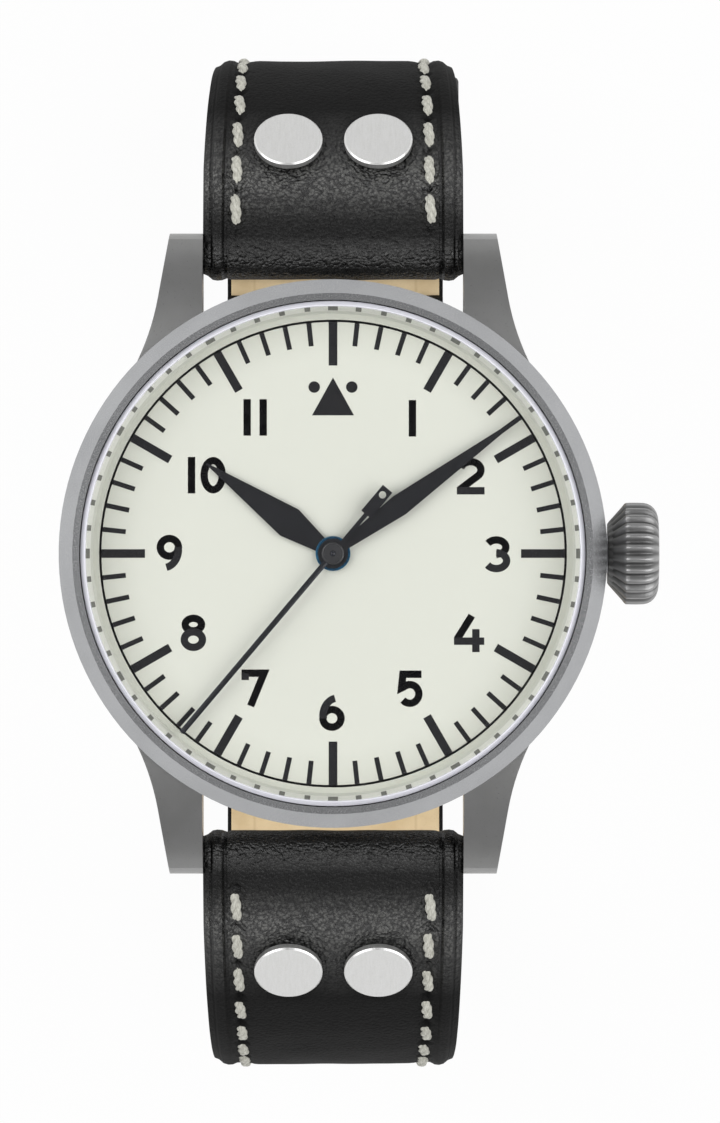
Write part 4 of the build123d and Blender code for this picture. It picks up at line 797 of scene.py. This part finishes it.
# Strap paths: each half runs over its shoulder, down its side and round its corner, as the model's halves do.
# Places are distances along the outer face. Heights are along its outward normal.
strap = {
    "barReach": 0.0229, "barHeight": 0.0026, "foldRadius": 0.0021, "leather": 0.00125, "core": 0.0017,
    "cornerRadius": 0.022, "floorLevel": -0.0575, "floorRun": 0.1, "halfAtCase": 0.01005,
    "halfAtFloor": 0.0090, "fullLevel": 0.002,
}
halves = {
    "12": {"side": 1, "tilt": 10.5, "shoulder": 0.0192, "length": 0.082, "rivetAngle": 38.9, "buckle": True,
           "flap": 0.0162, "slimLevel": -0.018, "firstStitch": 0.0035, "stitchPitch": 0.0036,
           "skived": 0.00038},
    "6": {"side": -1, "tilt": 18.3, "shoulder": 0.0249, "length": None, "rivetAngle": 41.4, "buckle": False,
          "flap": 0.0172, "slimLevel": -0.030, "firstStitch": 0.0042, "stitchPitch": 0.0037,
          "skived": 0.00062},
}


def halfRuns(half):
    shoulder, corner = half["shoulder"], strap["cornerRadius"]
    drop = strap["barHeight"] - (shoulder - strap["foldRadius"]) * cos(radians(half["tilt"]))
    return [(shoulder, shoulder * radians(90 - half["tilt"])), (0.0, drop - strap["floorLevel"] - corner),
            (corner, corner * pi / 2), (0.0, strap["floorRun"])]


# The place and heading at a distance along a half, in its own plane: reach outwards and height
def strapFrame(half, distance):
    tilt = radians(half["tilt"])
    heading = Vector((cos(tilt), -sin(tilt)))
    place = Vector((strap["barReach"], strap["barHeight"]))
    place += strap["foldRadius"] * Vector((-heading.y, heading.x))
    left = distance
    for radius, length in half["runs"]:
        step = min(left, length)
        if radius:
            centre = place + radius * Vector((heading.y, -heading.x))
            turn = Matrix.Rotation(-step / radius, 2)
            place = centre + turn @ (place - centre)
            heading = turn @ heading
        else:
            place = place + heading * step
        left -= step
        if left <= 0:
            break
    return place, heading


# A place on a half's leather: off either end it turns round that end's bar, then runs back inside as a flap
def atStrap(half, distance, across, height):
    fold = strap["foldRadius"]
    base = min(max(distance, 0.0), half["length"])
    sense = 1 if distance < base else -1
    over = abs(distance - base)
    place, heading = strapFrame(half, base + sense * max(0.0, over - pi * fold))
    outwards = Vector((-heading.y, heading.x))
    turn = Matrix.Rotation(sense * min(over / fold, pi), 2)
    spot = place - outwards * fold + turn @ (outwards * (fold + height))
    return Vector((across, half["side"] * spot.x, spot.y))


def halfWidth(half, level):
    share = shareOf(level, half["slimLevel"], strap["fullLevel"])
    return strap["halfAtFloor"] + share * (strap["halfAtCase"] - strap["halfAtFloor"])


for half in halves.values():
    half["runs"] = halfRuns(half)
    half["innerFace"] = (2 * strap["foldRadius"], strap["leather"] + strap["core"])
    half["rivetsAt"] = half["shoulder"] * radians(half["rivetAngle"] - half["tilt"])
bent = sum(length for radius, length in halves["6"]["runs"][:3])
halves["6"]["length"] = bent + strapFrame(halves["6"], bent)[0].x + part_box("strap_6_leather")[1].y
print("strap paths", round(halves["6"]["length"], 5))

# Outer leather of each half: a fine grid, shaped while flat, thickened, then laid along its path
outer = {
    "step": 0.00036, "edgeDrop": 0.00045, "edgeWidth": 0.0009, "edgeCrease": 0.0018, "creaseDepth": 0.00010,
    "creaseWidth": 0.00035, "borderRise": 0.00008, "borderMiddle": 0.0010, "borderWidth": 0.0009,
    "stitchLine": 0.00760, "stitchLean": 0.0205, "stitchCount": 9, "stitchEnd": 0.04, "stitchDent": 0.00022,
    "dentWidth": 0.0011, "dentStretch": 0.42, "holeDent": 0.00025, "holeReach": 0.0018, "holeWidth": 0.0006,
    "skiveMiddle": 0.0036, "rivetSide": 0.00349, "rivetRadius": 0.00265, "rivetDent": 0.00022,
    "rivetRim": 0.0003, "rivetFade": 0.0016, "swell": 0.00010, "swellScale": 260, "barRoom": 0.00082,
    "seam": 0.00008, "uvStart": 0.0066, "uvScale": 100, "buckleFlap": 0.0050, "slotRadius": 0.0025,
    "slotDepth": 0.0026, "holePitch": 0.007, "firstHole": 0.018, "holeRadius": 0.0011, "holeDepth": 0.012,
    "holes": 7, "tipTaper": 0.012, "tipHalf": 0.0032,
}


def stitchPlaces(half):
    return [half["firstStitch"] + number * half["stitchPitch"] for number in range(outer["stitchCount"])]


def stitchLine(distance):
    return outer["stitchLine"] - outer["stitchLean"] * distance


def dent(distance, radius):
    share = distance / radius
    return max(0.0, 1.0 - share * share) ** 2


def faceHeight(half, distance, across, width):
    edge = width - abs(across)
    height = -outer["edgeDrop"] * dent(max(0.0, edge), outer["edgeWidth"])
    height -= outer["creaseDepth"] * dent(edge - outer["edgeCrease"], outer["creaseWidth"])
    height += outer["borderRise"] * dent(edge - outer["borderMiddle"], outer["borderWidth"])
    place = Vector((across * outer["swellScale"], distance * outer["swellScale"], half["side"] * 3.0))
    height += outer["swell"] * smoothNoise(place)
    beside = abs(abs(across) - stitchLine(distance))
    if distance < outer["stitchEnd"]:
        for stitch in stitchPlaces(half):
            along = abs(distance - stitch)
            dented = dent(hypot(beside, outer["dentStretch"] * along), outer["dentWidth"])
            height -= outer["stitchDent"] * dented
            height -= outer["holeDent"] * dent(hypot(beside, along - outer["holeReach"]), outer["holeWidth"])
    if distance < 0:
        height -= half["skived"] * dent(distance + outer["skiveMiddle"], outer["skiveMiddle"])
    for side in (-1, 1):
        away = hypot(across - side * outer["rivetSide"], distance - half["rivetsAt"])
        away = max(0.0, away - outer["rivetRadius"] + outer["rivetRim"])
        height -= outer["rivetDent"] * dent(away, outer["rivetFade"])
    return height


# A flat sheet from share left to share right of the half width, between two distances, with its UVs
def strapSheet(name, begin, end, inset, left=-1.0, right=1.0):
    length = end - begin
    columns = max(2, int((right - left) * strap["halfAtCase"] / outer["step"]))
    rows = int(length / outer["step"])
    bpy.ops.mesh.primitive_grid_add(x_subdivisions=columns, y_subdivisions=rows, size=1.0, calc_uvs=True)
    sheet = named(name)
    width = right - left
    moulded(sheet, lambda co: Vector((left + (co.x + 0.5) * width, begin + (co.y + 0.5) * length, -inset)))
    uvs = sheet.data.uv_layers.active.data
    for loop in sheet.data.loops:
        corner = sheet.data.vertices[loop.vertex_index].co
        uvs[loop.index].uv = (corner.x, (corner.y + outer["uvStart"]) * outer["uvScale"])
    return sheet


# The tail narrows to its tip
def pullIn(half, distance):
    share = 1.0 if half["buckle"] else shareOf(half["length"] - distance, 0.0, outer["tipTaper"])
    return share + (1.0 - share) * outer["tipHalf"] / strap["halfAtFloor"]


# A sheet point at (share across, distance, height) goes to its place on the watch
def laidOnPath(sheet, half, detailed):
    def move(co):
        width = halfWidth(half, atStrap(half, co.y, 0.0, 0.0).z) * pullIn(half, co.y)
        across = co.x * width
        height = co.z + (faceHeight(half, co.y, across, width) if detailed else 0.0)
        return atStrap(half, co.y, across, height)
    moulded(sheet, move)
    return edited(sheet, (bpy.ops.mesh.flip_normals, {})) if half["side"] < 0 else sheet


def thickened(sheet, thickness):
    return modified(sheet, "SOLIDIFY", thickness=thickness, offset=-1.0, use_even_offset=True)


def strapLeatherPiece(key):
    half = halves[key]
    fold = pi * strap["foldRadius"]
    end = half["length"] + (fold + outer["buckleFlap"] if half["buckle"] else 0.0)
    sheet = laidOnPath(strapSheet(f"strap_{key}_outer", -fold - half["flap"], end, 0.0), half, True)
    thickened(sheet, strap["leather"] - outer["seam"])
    ends = (0.0, half["length"]) if half["buckle"] else (0.0,)
    folds = [atStrap(half, end, 0.0, -strap["foldRadius"]) for end in ends]

    def clearOfBar(co):
        for middle in folds:
            away = Vector((0.0, co.y - middle.y, co.z - middle.z))
            if away.length < outer["barRoom"]:
                away = away.normalized() * outer["barRoom"]
                return Vector((co.x, middle.y + away.y, middle.z + away.z))
        return co
    return moulded(sheet, clearOfBar)


# A layer between the leathers, from share left to share right of the half width
def strapFilling(key, name, left, right, begin, end):
    sheet = strapSheet(name, begin, end, strap["leather"] + lining["gap"], left, right)
    laidOnPath(sheet, halves[key], False)
    return thickened(sheet, strap["core"] - 2 * lining["gap"])


# What is cut out of a half: the tongue's slot, or the row of holes
def strapCutter(key):
    half = halves[key]
    if half["buckle"]:
        bpy.ops.mesh.primitive_cylinder_add(
            vertices=64, radius=outer["slotRadius"], depth=outer["slotDepth"],
            location=atStrap(half, half["length"], 0.0, -strap["foldRadius"]), rotation=(0.0, pi / 2, 0.0))
        return settled(named("slot_cutter"))
    made = []
    for number in range(outer["holes"]):
        place = half["length"] - outer["firstHole"] - number * outer["holePitch"]
        face = atStrap(half, place, 0.0, 0.0)
        outwards = face - atStrap(half, place, 0.0, -mm)
        turn = Vector((0, 0, 1)).rotation_difference(outwards).to_euler()
        bpy.ops.mesh.primitive_cylinder_add(vertices=48, radius=outer["holeRadius"], depth=outer["holeDepth"],
                                            location=face, rotation=turn)
        made.append(settled(named("hole_cutter")))
    return joined(made, "hole_cutters")


lining = {"gap": 0.00002, "share": 0.966, "start": 0.0012, "tip": 0.0009, "tipEnd": 0.0001}
for key, half in halves.items():
    cutter = strapCutter(key)
    share, start, length = lining["share"], lining["start"], half["length"]
    stop = length - (start if half["buckle"] else lining["tip"])
    pieces = [strapLeatherPiece(key), strapFilling(key, "strap_edge_left", -1.0, -share, start, stop),
              strapFilling(key, "strap_edge_right", share, 1.0, start, stop)]
    if not half["buckle"]:
        pieces.append(strapFilling(key, "strap_edge_tip", -1.0, 1.0, stop, length - lining["tipEnd"]))
    leather = joined(pieces, f"strap_{key}_outer")
    inner = strapFilling(key, f"strap_{key}_inner", -share, share, start, stop)
    for sheet in (leather, inner):
        modified(sheet, "BOOLEAN", operation="DIFFERENCE", object=cutter, solver="EXACT")
        print(sheet.name, len(sheet.data.polygons))
    bpy.data.objects.remove(cutter)
    finished(leather, "blackLeather", "strap_" + key, smooth=60)
    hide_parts("strap_" + key + "_leather")
    finished(inner, "tanLining", "strap_" + key, smooth=60)
    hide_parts("strap_" + key + "_lining")
print("strap halves made")

# Stitches: one thread of three twisted plies, laid along the strap and bent down into its holes
thread = {"plies": 3, "plyRadius": 0.00020, "twist": 0.00016, "turns": 0.9, "length": 0.0027,
          "lift": -0.00012, "dip": 0.00040, "sides": 10, "rings": 20, "tilt": 0.09, "tiltSpread": 0.7,
          "wander": 0.00015, "middleWidth": 1.2, "endSlim": 0.35, "endFlat": 0.25}


def plainStitch():
    points, faces = [], []
    sides, rings = thread["sides"], thread["rings"]
    for ply in range(thread["plies"]):
        base = len(points)
        for ring in range(rings + 1):
            phase = 2 * pi * (ply / thread["plies"] + thread["turns"] * ring / rings)
            for side in range(sides):
                angle = 2 * pi * side / sides
                points.append((thread["twist"] * cos(phase) + thread["plyRadius"] * cos(angle),
                               (ring / rings - 0.5) * thread["length"],
                               thread["twist"] * sin(phase) + thread["plyRadius"] * sin(angle)))
        for start in range(base, base + rings * sides, sides):
            for side in range(sides):
                here, beside = start + side, start + (side + 1) % sides
                faces.append((here, beside, beside + sides, here + sides))
        faces.append([base + side for side in range(sides)][::-1])
        faces.append([base + rings * sides + side for side in range(sides)])
    return edited(fromFaces("stitch", points, faces), facingOut)


def stitchesOf(key):
    half = halves[key]
    made = []
    for number in range(4 * outer["stitchCount"]):
        row, index = divmod(number, outer["stitchCount"])
        side, face = ((-1, 1), (-1, -1), (1, 1), (1, -1))[row]
        middle = stitchPlaces(half)[index]
        depth = 0.0 if face > 0 else half["innerFace"][middle > half["flap"]]
        lean = 1.0 + thread["tiltSpread"] * smoothNoise(Vector((index * 3.1, side * 2.0, 0.5)))
        swing = -half["side"] * thread["tilt"] * lean
        wander = thread["wander"] * smoothNoise(Vector((index * 1.7 + 5.0, side * 4.0, half["side"] * 2.0)))
        line = side * stitchLine(middle) + wander

        def move(co):
            share = co.y / thread["length"] * 2
            width = thread["middleWidth"] - thread["endSlim"] * share * share
            flat = 1.0 - thread["endFlat"] * share * share
            height = co.z * flat + thread["lift"] - thread["dip"] * share ** 4
            return atStrap(half, middle + co.y, line + co.x * width + swing * co.y, face * height - depth)
        made.append(moulded(copied(pattern, "stitch"), move))
    return joined(made, "stitches_" + key)


pattern = plainStitch()
for key in halves:
    finished(stitchesOf(key), "paleThread", "strap_" + key, smooth=60)
bpy.data.objects.remove(pattern)
print("stitches sewn")

# Keepers: the model's loops, merged, rounded and given leather
keeperShape = {"merge": 0.000001, "bevel": 0.00040, "bevelSteps": 4, "bevelAngle": 50, "grainSize": 0.01}
for name, body in (("fixed_keeper", "strap_12"), ("free_keeper", "free_keeper")):
    keeper = copied(nodes[name], name + "_leather")
    keeper.parent = None
    edited(keeper, (bpy.ops.mesh.remove_doubles, {"threshold": keeperShape["merge"]}),
           (bpy.ops.mesh.tris_convert_to_quads, {}))
    modified(keeper, "BEVEL", width=keeperShape["bevel"], segments=keeperShape["bevelSteps"],
             limit_method="ANGLE", angle_limit=radians(keeperShape["bevelAngle"]))
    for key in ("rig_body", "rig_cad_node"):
        if key in keeper:
            del keeper[key]
    edited(keeper, (bpy.ops.uv.cube_project, {"cube_size": keeperShape["grainSize"]}))
    finished(keeper, "edgeLeather", body, smooth=50)
    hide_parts(name)
print("keepers made")

# Floor, world and lamps
studio = {"floorSize": 4.0, "floorLevel": cadBox[0][2] - 0.00002, "overhead": 0.28, "horizon": 1.05,
          "fadeStart": 0.05, "fadeEnd": 0.40, "floorGlow": 0.95, "mirrorGlow": 0.5}
white = (255, 255, 255)
bpy.ops.mesh.primitive_plane_add(size=studio["floorSize"], location=(0, 0, studio["floorLevel"]))
floor = named("studio_floor")
floorShader = Shader("studioFloor")
floorShader.put(Base_Color=(0.9, 0.9, 0.9, 1.0), Roughness=0.9, Specular_IOR_Level=0.1)
glow = floorShader.node("ShaderNodeEmission", inputs={"Color": white, "Strength": 1.0})
direct, mirrored, through = [floorShader.node("ShaderNodeLightPath", output=ray) for ray in
                             ("Is Camera Ray", "Is Glossy Ray", "Is Transmission Ray")]
seen = direct.maths("MAXIMUM", direct, mirrored * studio["mirrorGlow"])
seen = seen.maths("MAXIMUM", seen, through)
floorShader.cover(seen * studio["floorGlow"], glow)
floor.data.materials.append(floorShader.material)

# The world lights from a pale horizon and a darker top, and looks white itself
world = bpy.data.worlds.new("studio")
bpy.context.scene.world = world
world.use_nodes = True
sky = Nodes(world.node_tree, "Background", "World Output")
level = sky.parts(sky.place("Generated"))[2]
sky.put(Color=white, Strength=sky.range(level, studio["fadeStart"], studio["fadeEnd"], studio["horizon"],
                                        studio["overhead"], "SMOOTHSTEP"))
plain = sky.node("ShaderNodeBackground", inputs={"Color": white, "Strength": 1.0})
sky.cover(sky.node("ShaderNodeLightPath", output="Is Camera Ray"), plain)

lamps = {
    "leftLamp": {"place": (-0.40, 0.10, 0.44), "size": 0.58, "power": 2.25},
    "rightLamp": {"place": (0.40, -0.04, 0.44), "size": 0.58, "power": 2.25},
}
for name, look in lamps.items():
    lamp = bpy.data.lights.new(name, "AREA")
    lamp.energy = look["power"]
    lamp.size = look["size"]
    lampObject = linked(name, lamp)
    lampObject.location = look["place"]
    lampObject.rotation_euler = (-Vector(look["place"])).to_track_quat("-Z", "Y").to_euler()
bpy.context.scene.view_settings.view_transform = "Standard"
print("studio lit")
